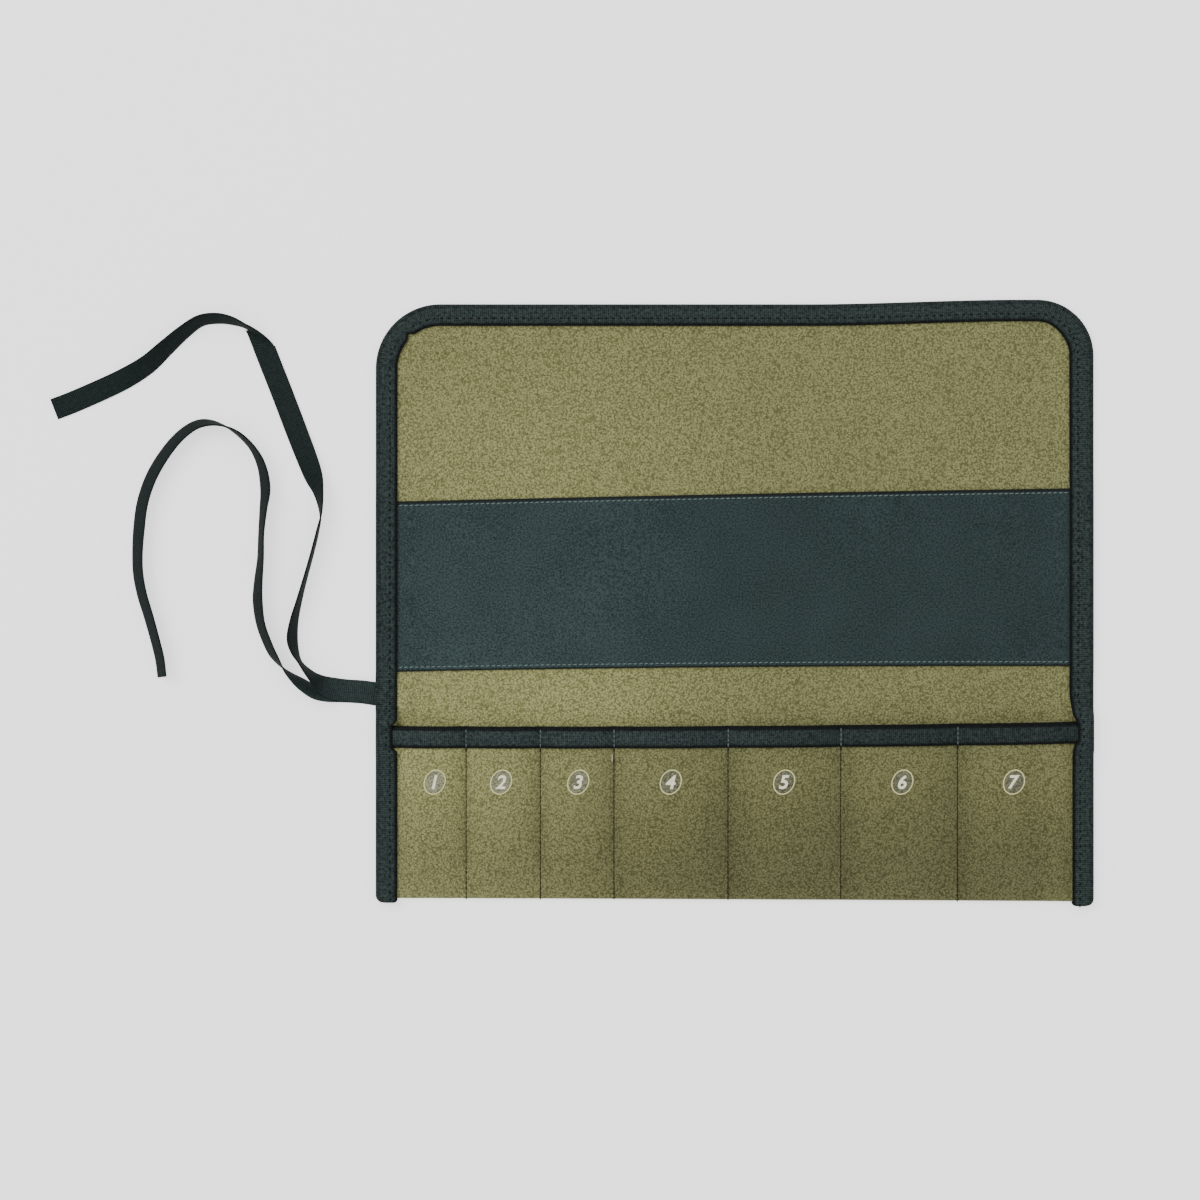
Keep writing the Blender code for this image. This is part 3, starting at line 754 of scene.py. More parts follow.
def edge_stations(roll):
    """Places along the taped outline from the left foot, over the top, to the right foot:
    outline point, direction in to the roll, width of each of the tape's layers, pleat's rise."""
    stations = []

    def width_at(side, y):
        mouth = roll.line(side * roll.half_width, "mouth")
        pinched = plateau(y, mouth - roll.tape_width, mouth, MOUTH_PINCH_RUN)
        spread = RIGHT_SPREAD * rise_between(y - mouth, *RIGHT_SPREAD_SPAN) if side > 0 else 0
        return roll.tape_width - MOUTH_PINCH * pinched + spread

    def rounding(radius, beyond):
        """How far a rounded corner of that radius falls back at a place beyond its foot."""
        inside = max(radius - beyond, 0)
        return radius - math.sqrt(radius * radius - inside * inside)

    def side_run(side, ys):
        for y in ys:
            outer, inner = (rounding(radius, y - feet[side]) for radius in FOOT_RADII)
            outline = Vector((side * (roll.half_width - outer), y))
            cut = outer + inner
            stations.append(
                (outline, Vector((-side, 0)), roll.tape_width - cut, width_at(side, y) - cut, 0))

    def corner_run(side, radius, angles):
        centre = Vector((side * (roll.half_width - radius), 0))
        centre.y = roll.top_edge(centre.x) - radius
        for angle in angles:
            out, up = turned(angle)
            way = Vector((side * out, up))
            off = abs(angle - PLEAT_ANGLE) / PLEAT_HALF_ANGLE
            pleat = max(1 - off, 0) if side < 0 else 0
            rise = smooth_step(1 - abs(off - PLEAT_CREST)) if side < 0 else 0
            spread = RIGHT_SPREAD * smooth_step((90 - angle) / RIGHT_SPREAD_ANGLE) if side > 0 else 0
            width = roll.tape_width - PLEAT_DEPTH * pleat + spread
            stations.append((centre + way * radius, -way, roll.tape_width, width, rise))

    feet = {
        -1: roll.line(-roll.half_width, "fold") - TAPE_OVERHANG,
        1: roll.bottom,
    }
    heads = {
        -1: roll.top_edge(-roll.half_width) - LEFT_CORNER_RADIUS,
        1: roll.top_edge(roll.half_width) - RIGHT_CORNER_RADIUS,
    }
    side_run(-1, [feet[-1] + step for step in FOOT_STEPS])
    side_run(-1, steps_between(feet[-1] + FOOT_RADII[0], heads[-1], TAPE_STEP))
    corner_run(-1, LEFT_CORNER_RADIUS, range(CORNER_STEP // 2, 90, CORNER_STEP // 2))
    top_left, top_right = LEFT_CORNER_RADIUS - roll.half_width, roll.half_width - RIGHT_CORNER_RADIUS
    for x in steps_between(top_left, top_right, TAPE_STEP):
        stations.append(
            (Vector((x, roll.top_edge(x))), Vector((0, -1)), roll.tape_width, roll.tape_width, 0))
    corner_run(1, RIGHT_CORNER_RADIUS, range(90 - CORNER_STEP // 2, 0, -CORNER_STEP // 2))
    side_run(1, steps_between(heads[1], feet[1] + FOOT_RADII[0], TAPE_STEP))
    side_run(1, [feet[1] + step for step in reversed(FOOT_STEPS)])
    return stations


def edge_tape_rows(roll):
    rows = []
    for outline, inward, width_below, width_above, pleat in edge_stations(roll):
        def low(inset):
            return roll.tie_bump(*(outline + inward * inset))

        def high(inset):
            rise = PLEAT_RISE * pleat * smooth_step(inset / roll.tape_width)
            return roll.edge_tape_high(*(outline + inward * inset)) + rise

        section = tape_section(roll, width_below, width_above, low, high, EDGE_TURN_SHADE)
        rows.append([
            ((*(outline + inward * inset), rise), (*(outline + inward * inner_inset), inner_rise), tone)
            for inset, rise, inner_inset, inner_rise, tone in section])
    return rows


def mouth_tape_rows(roll, columns):
    rows = []
    for x in columns:
        mouth = roll.line(x, "mouth")
        # Darker towards the right across the roll.
        toned_down = mixed(*MOUTH_TONES, rise_between(x, *MOUTH_TONE_SPAN))

        def low(inset):
            return roll.mouth_tape_under(x, mouth - inset)

        def high(inset):
            return roll.mouth_tape_top(x, mouth - inset)

        section = tape_section(roll, roll.tape_width, roll.tape_width, low, high, MOUTH_TURN_SHADE)
        rows.append([
            ((x, mouth - inset, rise), (x, mouth - inner_inset, inner_rise), tone * toned_down)
            for inset, rise, inner_inset, inner_rise, tone in section])
    return rows


def band_rows(roll, columns):
    """The dark band, its long edges turned down a little."""
    rows = []
    places = [(0, inset, thinner) for inset, thinner in BAND_TURN]
    places += [(share, 0, 0) for share in shares(BAND_STEPS)[1:-1]]
    places += [(1, -inset, thinner) for inset, thinner in reversed(BAND_TURN)]
    for share, shift, thinner in places:
        row = []
        for x in columns:
            y = mixed(roll.line(x, "band_low"), roll.line(x, "band_high"), share) + shift
            under = roll.back_top(x, y) + SEWN_GAP
            row.append(((x, y, under + roll.band * (1 + thinner)), (x, y, under)))
        rows.append(row)
    return rows


def smooth_between(before, start, end, after, share):
    """A point of the smooth curve from start to end, with the points before and after them."""
    square, cube = share * share, share * share * share
    return tuple(
        0.5 * (2 * b + (c - a) * share + (2 * a - 5 * b + 4 * c - d) * square
               + (3 * b - a - 3 * c + d) * cube)
        for a, b, c, d in zip(before, start, end, after))


def tie_line(roll, route):
    """The middle line of a tie in metres: (x, y, z, lean in radians), about TIE_STEP apart."""
    knots = [
        (roll.root.x + across / 1000, roll.root.y + along / 1000, math.radians(lean), rise / 1000)
        for across, along, lean, rise in route]
    padded = [knots[0]] + knots + [knots[-1]]
    points = []
    for before, start, end, after in zip(padded, padded[1:], padded[2:], padded[3:]):
        count = max(round(math.dist(start[:2], end[:2]) / TIE_STEP), 1)
        points += [smooth_between(before, start, end, after, step / count) for step in range(count)]
    points.append(knots[-1])
    return points


def tie_sections(roll, route, crease):
    """The middle of each section of a tie, and the direction across it, as long as half the tie."""
    line = tie_line(roll, route)
    places = [Vector(point[:2]) for point in line]
    if crease:
        ends = [roll.root + Vector(end) / 1000 for end in crease]
        crease_middle, crease_half = (ends[0] + ends[1]) / 2, ((ends[1] - ends[0]) / 2).to_3d()
    sections = []
    for number, (place, point) in enumerate(zip(places, line)):
        way = (places[min(number + 1, len(places) - 1)] - places[max(number - 1, 0)]).normalized()
        left = Vector((-way.y, way.x, 0))
        across = (left * math.cos(point[2]) + Vector((0, 0, math.sin(point[2])))) * roll.tie_width / 2
        if crease:
            share = smooth_step(1 - (place - crease_middle).length / TIE_CREASE_REACH)
            across = across.lerp(crease_half, share)
        middle = place.to_3d()
        middle.z = point[3] + abs(across.z) * (1 - roll.tape / roll.tie_width) + roll.tape / 2
        sections.append((middle, across))
    return sections


def new_tie(name, roll, route, crease, painted_light):
    """A tie of flat tape that follows its route, with rounded edges and square-cut ends."""
    sections = tie_sections(roll, route, crease)
    middles = [middle for middle, across in sections]
    half_width = roll.tie_width / 2
    profile = [
        (side * share, side * rise * roll.tape / 2) for side in (1, -1) for share, rise in TIE_PROFILE]
    count = len(profile)
    vertices, faces, places, tones = [], [], [], []
    along = 0.0
    for number, (middle, across) in enumerate(sections):
        before, after = middles[max(number - 1, 0)], middles[min(number + 1, len(middles) - 1)]
        way = after - before
        way.z = 0
        facing = way.cross(across).normalized()
        along += (middle - before).length
        # Painted light where the tie lies open to the light.
        lighter = 1 + sum(gain * plateau(along, start, stop, run) for start, stop, run, gain in painted_light)
        # Painted shade where the tie stands on edge.
        tones += [TIE_TONE * (1 - TIE_LEAN_SHADE * abs(across.z) / half_width) * lighter] * count
        for share, rise in profile:
            vertices.append(middle + across * share + facing * rise)
            places.append((along, share * half_width))
        if number:
            ring, last = number * count, (number - 1) * count
            for corner in range(count):
                following = (corner + 1) % count
                faces.append((last + corner, last + following, ring + following, ring + corner))
    end = (len(middles) - 1) * count
    faces.append(tuple(reversed(range(count))))
    faces.append(tuple(end + corner for corner in range(count)))

    piece = new_piece(name, vertices, faces)
    for loop, place in zip(piece.data.loops, piece.data.uv_layers.new(name="UVMap").uv):
        place.vector = places[loop.vertex_index]
    face_outwards(piece.data)
    set_tone(piece, tones)
    return piece, middles


def stitch_pattern():
    """One stitch of unit size: a low bead, made once and copied along each seam."""
    deselect_all()
    bpy.ops.mesh.primitive_uv_sphere_add(segments=8, ring_count=5, radius=0.5, rotation=(0, math.pi / 2, 0))
    bead = bpy.context.active_object
    place_in_mesh(bead)
    points = np.array([vertex.co for vertex in bead.data.vertices])
    faces = [tuple(face.vertices) for face in bead.data.polygons]
    mesh = bead.data
    bpy.data.objects.remove(bead)
    bpy.data.meshes.remove(mesh)
    return points, faces


def places_along(line, pitch):
    """Points every pitch along a line, each with its direction."""
    line = [Vector(point) for point in line]
    places = []
    ahead = pitch / 2
    for start, end in zip(line, line[1:]):
        length = (end - start).length
        while ahead <= length:
            places.append((start.lerp(end, ahead / length), (end - start) / length))
            ahead += pitch
        ahead -= length
    return places


def new_stitches(name, lines, sizes, turn):
    """Stitches along seam lines, each a bead that lies half in the cloth."""
    points, faces = stitch_pattern()
    vertices, all_faces = [], []
    length, pitch, width = OWN_STITCHES.get(name, (sizes.length, sizes.pitch, sizes.width))
    size = np.array([length, width, width * STITCH_HEIGHT_SHARE])
    for line in lines:
        for middle, way in places_along(line, pitch):
            side = Vector((0, 0, 1)).cross(way).normalized()
            up = way.cross(side)
            way = way * math.cos(turn) + side * math.sin(turn)
            side = up.cross(way)
            placed = (points * size) @ np.array([way, side, up]) + np.array(middle)
            first = len(vertices)
            vertices += placed.tolist()
            all_faces += [tuple(first + corner for corner in face) for face in faces]
    return new_piece(name, vertices, all_faces)


def lay_print(piece, roll, middle, thickness):
    """Lays a flat shape on the pockets' front round a place, and gives it its thickness."""
    deselect_all()
    piece.select_set(True)
    bpy.context.view_layer.objects.active = piece
    bpy.ops.object.mode_set(mode="EDIT")
    for cut in steps_between(-PRINT_REACH, PRINT_REACH, PRINT_CUT):
        for normal in ((1, 0, 0), (0, 1, 0)):
            bpy.ops.mesh.select_all(action="SELECT")
            bpy.ops.mesh.bisect(plane_co=(normal[0] * cut, normal[1] * cut, 0), plane_no=normal)
    bpy.ops.mesh.select_all(action="SELECT")
    bpy.ops.mesh.remove_doubles(threshold=PRINT_WELD)
    bpy.ops.mesh.normals_make_consistent(inside=False)
    bpy.ops.object.mode_set(mode="OBJECT")
    for vertex in piece.data.vertices:
        x, y = middle[0] + vertex.co.x, middle[1] + vertex.co.y
        vertex.co = (x, y, roll.front_top(x, y) + thickness)
    wall = piece.modifiers.new("Thickness", "SOLIDIFY")
    wall.thickness = 2 * thickness
    wall.offset = 0
    bpy.ops.object.modifier_apply(modifier=wall.name)


def new_ring(sizes, filled=False):
    """A slanted flat ring round the origin, or the disc inside it."""
    deselect_all()
    narrow = 1 - 2 * sizes.stroke / sizes.ring_width
    low = 1 - 2 * sizes.stroke / sizes.ring_height
    if filled:
        bpy.ops.mesh.primitive_circle_add(vertices=RING_CORNERS, radius=narrow / 2, fill_type="NGON")
        ring = bpy.context.active_object
    else:
        bpy.ops.mesh.primitive_circle_add(vertices=RING_CORNERS, radius=0.5)
        ring = bpy.context.active_object
        bpy.ops.object.mode_set(mode="EDIT")
        bpy.ops.mesh.select_all(action="SELECT")
        bpy.ops.mesh.extrude_edges_move()
        bpy.ops.transform.resize(value=(narrow, low, 1))
        bpy.ops.object.mode_set(mode="OBJECT")
    slant = Matrix((
        (sizes.ring_width, RING_SLANT * sizes.ring_height, 0, 0), (0, sizes.ring_height, 0, 0),
        (0, 0, 1, 0), (0, 0, 0, 1)))
    ring.data.transform(slant)
    return ring


def new_digit(text, sizes):
    """A bold, slanted number round the origin, as a flat mesh."""
    deselect_all()
    bpy.ops.object.text_add()
    digit = bpy.context.active_object
    digit.data.body = text
    digit.data.size = sizes.digit_height / DIGIT_SHARE
    digit.data.shear = DIGIT_SLANT
    digit.data.offset = DIGIT_BOLDNESS * digit.data.size
    digit.data.align_x = "CENTER"
    digit.data.resolution_u = DIGIT_STEPS
    bpy.ops.object.convert(target="MESH")
    digit = bpy.context.active_object
    low, high = Vector(digit.bound_box[0]), Vector(digit.bound_box[6])
    scale = sizes.digit_height / (high.y - low.y)
    digit.data.transform(Matrix.Scale(scale, 4) @ Matrix.Translation(-(low + high) / 2))
    return digit


class Signal:
    """A number that varies over a surface. Arithmetic on it adds Math nodes to its finish."""

    def __init__(self, finish, socket):
        self.finish = finish
        self.socket = socket

    def _math(self, operation, *values):
        return self.finish.add("ShaderNodeMath", {"operation": operation}, dict(enumerate(values)))

    def __add__(self, other):
        return self._math("ADD", self, other)

    def __sub__(self, other):
        return self._math("SUBTRACT", self, other)

    def __rsub__(self, other):
        return self._math("SUBTRACT", other, self)

    def __mul__(self, other):
        return self._math("MULTIPLY", self, other)

    def sine(self):
        return self._math("SINE", self)

    def within(self):
        """The number, held between nought and one."""
        return self._math("MINIMUM", self._math("MAXIMUM", self, 0.0), 1.0)


class Finish:
    """One procedural material, built node by node."""

    def __init__(self, name, roughness, sheen=0.0):
        self.material = bpy.data.materials.new(name)
        self.material.use_nodes = True
        self.tree = self.material.node_tree
        self.shader = self.tree.nodes["Principled BSDF"]
        self.shader.inputs["Roughness"].default_value = roughness
        self.shader.inputs["Sheen Weight"].default_value = sheen
        self.shader.inputs["Specular IOR Level"].default_value = 0.25

    def add(self, kind, settings=None, inputs=None, output=0):
        """Adds a node, its settings first and then its sockets, and gives back one of its outputs."""
        node = self.tree.nodes.new(kind)
        for name, value in (settings or {}).items():
            setattr(node, name, value)
        for name, value in (inputs or {}).items():
            self.feed(node.inputs[name], value)
        return Signal(self, node.outputs[output])

    def feed(self, socket, value):
        if isinstance(value, Signal):
            self.tree.links.new(value.socket, socket)
        else:
            socket.default_value = value

    def place(self):
        return self.add("ShaderNodeTexCoord", output="Object")

    def along_and_across(self):
        """The two directions of the piece's own UV map, in metres."""
        uv = self.add("ShaderNodeTexCoord", output="UV")
        split = self.add("ShaderNodeSeparateXYZ", inputs={0: uv})
        return split, Signal(self, split.socket.node.outputs[1])

    def noise(self, scale, detail=2.0, roughness=0.5):
        return self.add("ShaderNodeTexNoise", inputs={
            "Vector": self.place(), "Scale": scale, "Detail": detail, "Roughness": roughness})

    def cells(self, scale):
        """Distance from the middle of the nearest of many small cells."""
        return self.add("ShaderNodeTexVoronoi", inputs={"Vector": self.place(), "Scale": scale})

    def blend(self, first, second, share):
        """A colour from first to second by a share of nought to one."""
        return self.add(
            "ShaderNodeMix", {"data_type": "RGBA"},
            {0: share, 6: self.opaque(first), 7: self.opaque(second)}, output=2)

    def toned(self, base):
        """The colour, darker or lighter by the tone, painted light and shade too, that its mesh holds."""
        tone = self.add("ShaderNodeAttribute", {"attribute_name": "tone"}, output="Fac")
        return self.add("ShaderNodeVectorMath", {"operation": "SCALE"}, {0: base, "Scale": tone})

    @staticmethod
    def opaque(value):
        return value if isinstance(value, Signal) else (*value, 1)

    def dress(self, base, height, strength, depth):
        """Gives the shader its colour and a bump of that height."""
        self.feed(self.shader.inputs["Base Color"], base)
        bump = self.add(
            "ShaderNodeBump", inputs={"Strength": strength, "Distance": depth, "Height": height})
        self.feed(self.shader.inputs["Normal"], bump)
        return self.material


def khaki_finish(name, light, dark, fleck):
    """Napped khaki cloth: a fine, soft grain of nap and gaps, with dark flecks."""
    finish = Finish(name, 0.95, sheen=0.15)
    mottle = finish.noise(scale=1500, detail=1.0)
    tufts = finish.cells(scale=820)
    patches = finish.noise(scale=40)
    share = ((mottle - 0.5) * 2.7 + (0.48 - tufts) * 1.5 + 0.5 + (patches - 0.5) * 0.20).within()
    ground = finish.blend(dark, light, share)
    flecks = ((0.20 - finish.cells(scale=330)) * 12.0).within()
    flecked = finish.blend(ground, fleck, flecks * 0.5)
    nap = finish.noise(scale=1700, detail=1.0)
    return finish.dress(finish.toned(flecked), mottle + nap * 0.5, strength=0.45, depth=0.0005)


def band_finish(colours):
    """Dark blue-green cloth with a fine, soft weave."""
    finish = Finish("band cloth", 0.80, sheen=0.05)
    grain = finish.noise(scale=1050, roughness=0.6)
    patches = finish.noise(scale=30)
    share = ((grain - 0.5) * 3.4 + 0.5 + (patches - 0.5) * 0.5).within()
    base = finish.blend(colours.band_dark, colours.band_light, share)
    return finish.dress(finish.toned(base), grain, strength=0.35, depth=0.0004)


def tape_finish(name, colours, gloss, rough):
    """Dark green tape with fine ribs across it."""
    finish = Finish(name, 0.90)
    finish.shader.inputs["Specular IOR Level"].default_value = gloss
    along, across = finish.along_and_across()
    ribs = (along * (math.tau / RIB_PITCH)).sine() * 0.5 + 0.5
    weave = (across * (math.tau / WEAVE_PITCH)).sine() * 0.5 + 0.5
    grain = finish.noise(scale=700, detail=3.0, roughness=0.65)
    share = (ribs * 0.38 + weave * 0.12 + (grain - 0.5) * rough + 0.22).within()
    base = finish.blend(colours.tape_dark, colours.tape_light, share)
    return finish.dress(finish.toned(base), ribs * 0.6 + grain * 0.6, strength=0.3, depth=0.0003)


def thread_finish(name, tint):
    finish = Finish(name, 0.80)
    twist = finish.noise(scale=1500, detail=1.0)
    darker = tuple(0.55 * part for part in tint)
    base = finish.blend(darker, tint, (twist * 1.6 - 0.2).within())
    return finish.dress(base, twist, strength=0.3, depth=0.0002)


def print_finish(name, tint):
    """Print slightly rubbed thin, that lets the nap of the cloth through."""
    finish = Finish(name, 0.75)
    wear = finish.noise(scale=1000)
    share = ((wear - 0.22) * 5.0).within()
    toned_down = tuple(0.80 * part for part in tint)
    return finish.dress(finish.blend(toned_down, tint, share), wear, strength=0.3, depth=0.0002)


def floor_finish(tint, glow):
    """A white table top, lit from below."""
    finish = Finish("floor", 0.9)
    finish.shader.inputs["Emission Color"].default_value = (1, 1, 1, 1)
    finish.shader.inputs["Emission Strength"].default_value = glow
    cloudy = finish.noise(scale=3)
    lighter = tuple(min(part * 1.02, 1) for part in tint)
    return finish.dress(finish.blend(tint, lighter, cloudy), cloudy, strength=0.0, depth=0.0001)


def back_tone(x, y):
    """Painted light and shade on the back panel and the band, lightest low on the left."""
    down = min(max((BACK_TONE_TOP - y) / BACK_TONE_RUN, 0), 1)
    left, right = (mixed(*tones, down) for tones in BACK_TONES)
    return mixed(left, right, rise_between(x, *BACK_TONE_SPAN))


def band_tone(roll, x, y):
    """The band's tone, with painted shade along its two turned-in long edges."""
    to_edge = min(roll.line(x, "band_high") - y, (y - roll.line(x, "band_low")) * BAND_LOW_EDGE)
    return back_tone(x, y) * mixed(BAND_EDGE_SHADE, 1, rise_between(to_edge, *BAND_EDGE_SPAN))


def cloth_tone(roll, x, y, z):
    """How light the cloth is, with its painted light and shade. The pockets' fronts are darker the
    further right they are; painted shade darkens them near the fold and towards the next seam, a
    painted shadow lies on the right of each seam, and a painted highlight runs along the fold."""
    place = roll.pocket_share(x, y)
    if place is None or place[1] > 1 or z < roll.back_top(x, y) + SEWN_GAP / 2:
        return back_tone(x, y)
    across, along = place
    # Darker towards the right across the roll.
    toned_down = rise_between(x, *POCKET_DARKER_SPAN)
    fold_light, fold_share = FOLD_LIGHT
    # Painted shade of the front sloping down to the fold, and a painted highlight along the fold.
    up = mixed(*DEPTH_TONES, rise_between(along, *DEPTH_SPAN)) + fold_light * max(1 - along / fold_share, 0)
    seam_shade, seam_share = SEAM_SHADE
    # Painted shadow on the right of a seam, and painted shade towards the next seam.
    shade = seam_shade * max(1 - across / seam_share, 0) + FAR_SHADE * rise_between(across, *FAR_SHADE_SPAN)
    lighter = 1 + RIGHT_LIGHT * rise_between(x, *RIGHT_LIGHT_SPAN)
    return mixed(*POCKET_TONES, toned_down) * up * (1 - toned_down * shade) * lighter


class TOOLROLL_OT_stage(bpy.types.Operator):
    """Adds the camera, the pale floor and the soft light"""

    bl_idname = "tool_roll.stage"
    bl_label = "Stage"

    def execute(self, context):
        stage = context.scene.tool_roll_stage
        lens = bpy.data.cameras.new("camera")
        lens.lens = stage.lens
        lens.sensor_width = SENSOR_WIDTH
        lens.clip_end = FAR_CLIP
        camera = bpy.data.objects.new("camera", lens)
        rise = stage.view_width * stage.lens / lens.sensor_width
        camera.location = (stage.view_x, stage.view_y, stage.view_height + rise)
        context.scene.collection.objects.link(camera)
        context.scene.camera = camera

        deselect_all()
        bpy.ops.mesh.primitive_plane_add(size=FLOOR_SIZE, location=(0, 0, FLOOR_LEVEL))
        floor = context.active_object
        floor.name = "floor"
        place_in_mesh(floor)
        floor.data.materials.append(floor_finish(stage.floor, stage.glow))

        bpy.ops.object.light_add(type="AREA", location=LAMP_PLACE)
        lamp = context.active_object
        lamp.name = "soft_lamp"
        lamp.data.size = LAMP_SIZE
        lamp.data.energy = stage.lamp
        lamp.rotation_euler = Vector(LAMP_PLACE).to_track_quat("Z", "Y").to_euler()

        world = bpy.data.worlds.new("soft_sky")
        world.use_nodes = True
        sky = world.node_tree.nodes["Background"].inputs
        sky["Color"].default_value = (1, 1, 1, 1)
        sky["Strength"].default_value = stage.sky
        context.scene.world = world
        return {"FINISHED"}


class TOOLROLL_OT_ties(bpy.types.Operator):
    """Adds the two ties of flat tape that lie to the left of the roll"""

    bl_idname = "tool_roll.ties"
    bl_label = "Ties"

    def execute(self, context):
        roll = Roll(context.scene.tool_roll_sizes)
        material = tape_finish("tie tape", context.scene.tool_roll_colours, gloss=0.08, rough=0.8)
        ties = (("tie_upper", TIE_UPPER_ROUTE, TIE_CREASE), ("tie_lower", TIE_LOWER_ROUTE, None))
        for name, route, crease in ties:
            tie, middles = new_tie("loose_" + name, roll, route, crease, TIE_PAINTED_LIGHT[name])
            finish_piece(tie, material, "tie_tape", [name])
            length = sum((end - start).length for start, end in zip(middles, middles[1:]))
            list(roll.root)
            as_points(middles)
        return {"FINISHED"}


class TOOLROLL_OT_cloth(bpy.types.Operator):
    """Adds the khaki cloth: the back panel, the fold and the pockets' front"""

    bl_idname = "tool_roll.cloth"
    bl_label = "Khaki cloth"

    def execute(self, context):
        roll = Roll(context.scene.tool_roll_sizes)
        cloth = new_shell("khaki_cloth", cloth_rows(roll, cloth_columns(roll)))
        set_tone(cloth, [cloth_tone(roll, *vertex.co) for vertex in cloth.data.vertices])
        colours = context.scene.tool_roll_colours
        material = khaki_finish("khaki nap", colours.cloth_light, colours.cloth_dark, colours.cloth_fleck)
        finish_piece(cloth, material, "khaki_cloth", ["body_cloth"])
        return {"FINISHED"}


class TOOLROLL_OT_band(bpy.types.Operator):
    """Adds the dark band across the back panel"""

    bl_idname = "tool_roll.band"
    bl_label = "Band"

    def execute(self, context):
        roll = Roll(context.scene.tool_roll_sizes)
        band = new_shell("dark_band", band_rows(roll, cloth_columns(roll)))
        set_tone(band, [band_tone(roll, *vertex.co.xy) for vertex in band.data.vertices])
        finish_piece(band, band_finish(context.scene.tool_roll_colours), "band_cloth", ["band"])
        return {"FINISHED"}


class TOOLROLL_OT_tapes(bpy.types.Operator):
    """Adds the tape folded round the edges and the tape folded over the pockets' mouth"""

    bl_idname = "tool_roll.tapes"
    bl_label = "Folded tapes"

    def execute(self, context):
        roll = Roll(context.scene.tool_roll_sizes)
        material = tape_finish("folded tape", context.scene.tool_roll_colours, gloss=0.20, rough=2.2)
        tapes = (
            ("edge_tape", edge_tape_rows(roll), "edge_binding"),
            ("mouth_tape", mouth_tape_rows(roll, cloth_columns(roll)), "pocket_binding"))
        for name, rows, node in tapes:
            tape = new_shell(name, rows)
            set_tone(tape, [tone for row in rows for outer, inner, tone in row] * 2)
            finish_piece(tape, material, "binding_tape", [node])
        return {"FINISHED"}


def edge_seam(roll):
    """The line of the edge tape's stitches."""
    line = []
    for outline, inward, _, width, _ in edge_stations(roll):
        inset = width * EDGE_STITCH_SHARE
        x, y = outline + inward * inset
        line.append((x, y, roll.edge_tape_high(x, y) + roll.crown(inset, width)))
    return line


def band_seams(roll, inset):
    """The two lines of stitches along the band."""
    reach = roll.half_width - roll.tape_width - SEWN_GAP
    lines = []
    for name, step in (("band_low", inset), ("band_high", -inset)):
        places = [(x, roll.line(x, name) + step) for x in steps_between(-reach, reach, CLOTH_STEP)]
        lines.append([(x, y, roll.band_top(x, y)) for x, y in places])
    return lines


def pocket_seams(roll):
    """The lines of the stitches between the pockets, on the cloth and across the mouth tape."""
    on_cloth, on_tape = [], []
    turn = roll.cloth + SEWN_GAP / 2
    for x in roll.pocket_bounds()[1:-1]:
        mouth, fold = roll.line(x, "mouth"), roll.line(x, "fold")
        ys = steps_between(mouth - roll.tape_width - SEWN_GAP, fold + 2 * roll.cloth, CLOTH_STEP)
        seam = [(x, y, roll.front_top(x, y)) for y in ys]
        for angle in FOLD_SEAM_ANGLES:
            out, up = turned(angle)
            rise = roll.back_top(x, fold) + SEWN_GAP / 2 + turn * up
            seam.append((x, fold + turn * (1 - out), rise))
        on_cloth.append(seam)
        ys = steps_between(mouth - TAPE_CLEARANCE, mouth - roll.tape_width + SEWN_GAP, CLOTH_STEP)
        on_tape.append([
            (x, y, roll.mouth_tape_top(x, y) + roll.crown(mouth - y, roll.tape_width)) for y in ys])
    return on_cloth, on_tape


def loose_end(roll, width):
    """The line of the loose end of thread below the mouth tape."""
    left, below = LOOSE_END_PLACE
    x = roll.pocket_bounds()[LOOSE_END_SEAM] - left
    y = roll.line(x, "mouth") - roll.tape_width - below
    return [(x, place, roll.front_top(x, place) + width / 2) for place in (y, y - LOOSE_END_LENGTH)]


class TOOLROLL_OT_stitches(bpy.types.Operator):
    """Adds the stitches of the tapes, the band and the pocket seams"""

    bl_idname = "tool_roll.stitches"
    bl_label = "Stitches"

    def execute(self, context):
        roll = Roll(context.scene.tool_roll_sizes)
        sizes, colours = context.scene.tool_roll_stitches, context.scene.tool_roll_colours
        light = thread_finish("light thread", colours.thread_light)
        dark = thread_finish("dark thread", colours.thread_dark)
        # Painted shadow for the edge tape's stitches, as dark as the shade in their holes.
        shadowed = thread_finish("sunken thread", colours.thread_hole_shadow)
        pale = thread_finish("pale thread", tuple(LOOSE_END_TONE * part for part in colours.print))
        on_cloth, on_tape = pocket_seams(roll)
        tacks = [seam[:2] for seam in on_cloth] + [on_cloth[-1][LOW_TACK]]
        kinds = (
            ("edge_stitches", [edge_seam(roll)], shadowed, "binding_tape", 0),
            ("band_stitches", band_seams(roll, sizes.inset), light, "band_cloth", BAND_STITCH_TURN),
            ("seam_stitches", on_cloth, dark, "khaki_cloth", 0),
            ("back_tacks", tacks, dark, "khaki_cloth", 0),
            ("loose_thread_end", [loose_end(roll, sizes.width)], pale, "khaki_cloth", 0),
            ("mouth_stitches", on_tape, light, "binding_tape", 0))
        for name, lines, material, slot, turn in kinds:
            finish_piece(new_stitches(name, lines, sizes, math.radians(turn)), material, slot)
        return {"FINISHED"}


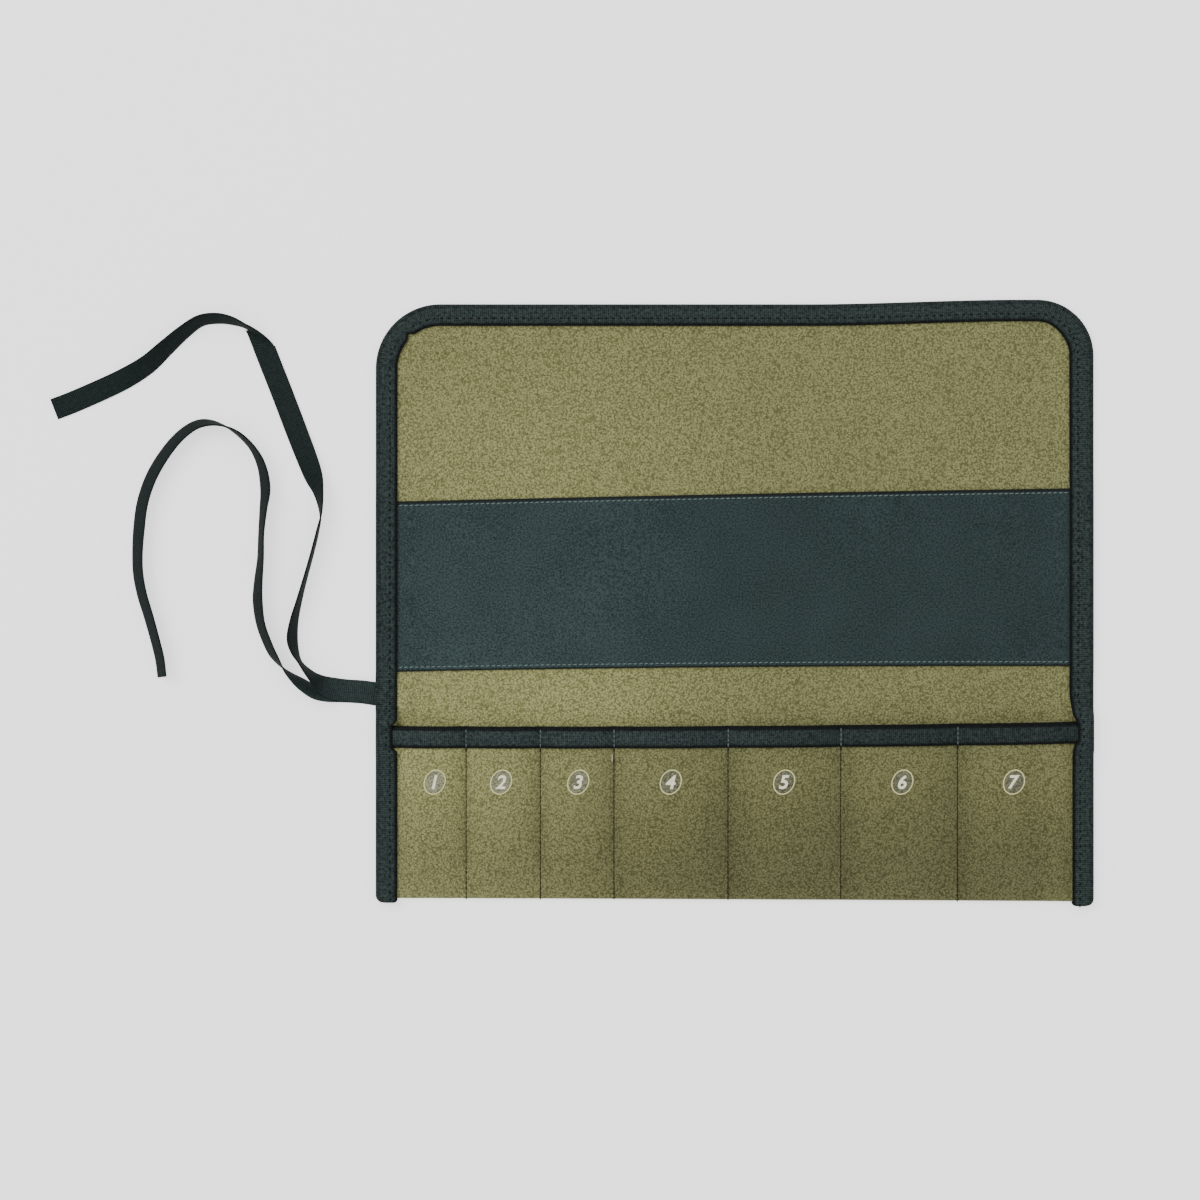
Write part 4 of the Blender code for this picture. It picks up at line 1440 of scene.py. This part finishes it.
class TOOLROLL_OT_numbers(bpy.types.Operator):
    """Prints a ringed number on each pocket"""

    bl_idname = "tool_roll.numbers"
    bl_label = "Numbers"

    def execute(self, context):
        roll = Roll(context.scene.tool_roll_sizes)
        sizes = context.scene.tool_roll_numbers
        bounds = roll.pocket_bounds()
        colours = context.scene.tool_roll_colours
        white = print_finish("white print", colours.print)
        cream = print_finish("cream print", colours.print_ring)
        veiled = khaki_finish(
            "greyed nap", colours.cloth_light_veiled, colours.cloth_dark_veiled, colours.cloth_fleck)
        y = roll.line(bounds[0], "mouth") - sizes.below_mouth
        for number, (left, right) in enumerate(zip(bounds, bounds[1:])):
            middle = ((left + right) / 2 + NUMBER_SHIFTS[number] * (right - left), y)
            marks = (
                (f"number_{number + 1}", new_digit(str(number + 1), sizes), white, sizes.thickness),
                (f"number_ring_{number + 1}", new_ring(sizes), cream, sizes.thickness),
                (f"number_ground_{number + 1}", new_ring(sizes, filled=True), veiled, sizes.thickness / 2))
            for name, mark, material, thickness in marks:
                lay_print(mark, roll, middle, thickness)
                mark.name = mark.data.name = name
                finish_piece(mark, material, "khaki_cloth")
            ground = marks[-1][1]
            # The same painted light and shade as the cloth around it.
            set_tone(ground, [cloth_tone(roll, *vertex.co) for vertex in ground.data.vertices])
        return {"FINISHED"}


class TOOLROLL_PT_panel(bpy.types.Panel):
    """Lists what makes up the tool roll"""

    bl_label = "Tool Roll"
    bl_idname = "TOOLROLL_PT_panel"
    bl_space_type = "VIEW_3D"
    bl_region_type = "UI"
    bl_category = "Tool Roll"

    def draw(self, context):
        for operator in OPERATORS:
            self.layout.operator(operator.bl_idname)
        for name, group in SETTINGS.items():
            box = self.layout.box()
            box.label(text=group.__doc__)
            for key in group.__annotations__:
                box.prop(getattr(context.scene, name), key)


OPERATORS = (
    TOOLROLL_OT_stage,
    TOOLROLL_OT_ties,
    TOOLROLL_OT_cloth,
    TOOLROLL_OT_band,
    TOOLROLL_OT_tapes,
    TOOLROLL_OT_stitches,
    TOOLROLL_OT_numbers,
)


def register():
    for kind in (*SETTINGS.values(), *OPERATORS, TOOLROLL_PT_panel):
        bpy.utils.register_class(kind)
    for name, group in SETTINGS.items():
        setattr(bpy.types.Scene, name, PointerProperty(type=group))


def unregister():
    for name in SETTINGS:
        delattr(bpy.types.Scene, name)
    for kind in (TOOLROLL_PT_panel, *reversed(OPERATORS), *SETTINGS.values()):
        bpy.utils.unregister_class(kind)


def main():
    register()
    bpy.ops.tool_roll.stage()
    bpy.ops.tool_roll.ties()
    bpy.ops.tool_roll.cloth()
    bpy.ops.tool_roll.band()
    bpy.ops.tool_roll.tapes()
    bpy.ops.tool_roll.stitches()
    bpy.ops.tool_roll.numbers()


if __name__ == "__main__":
    main()
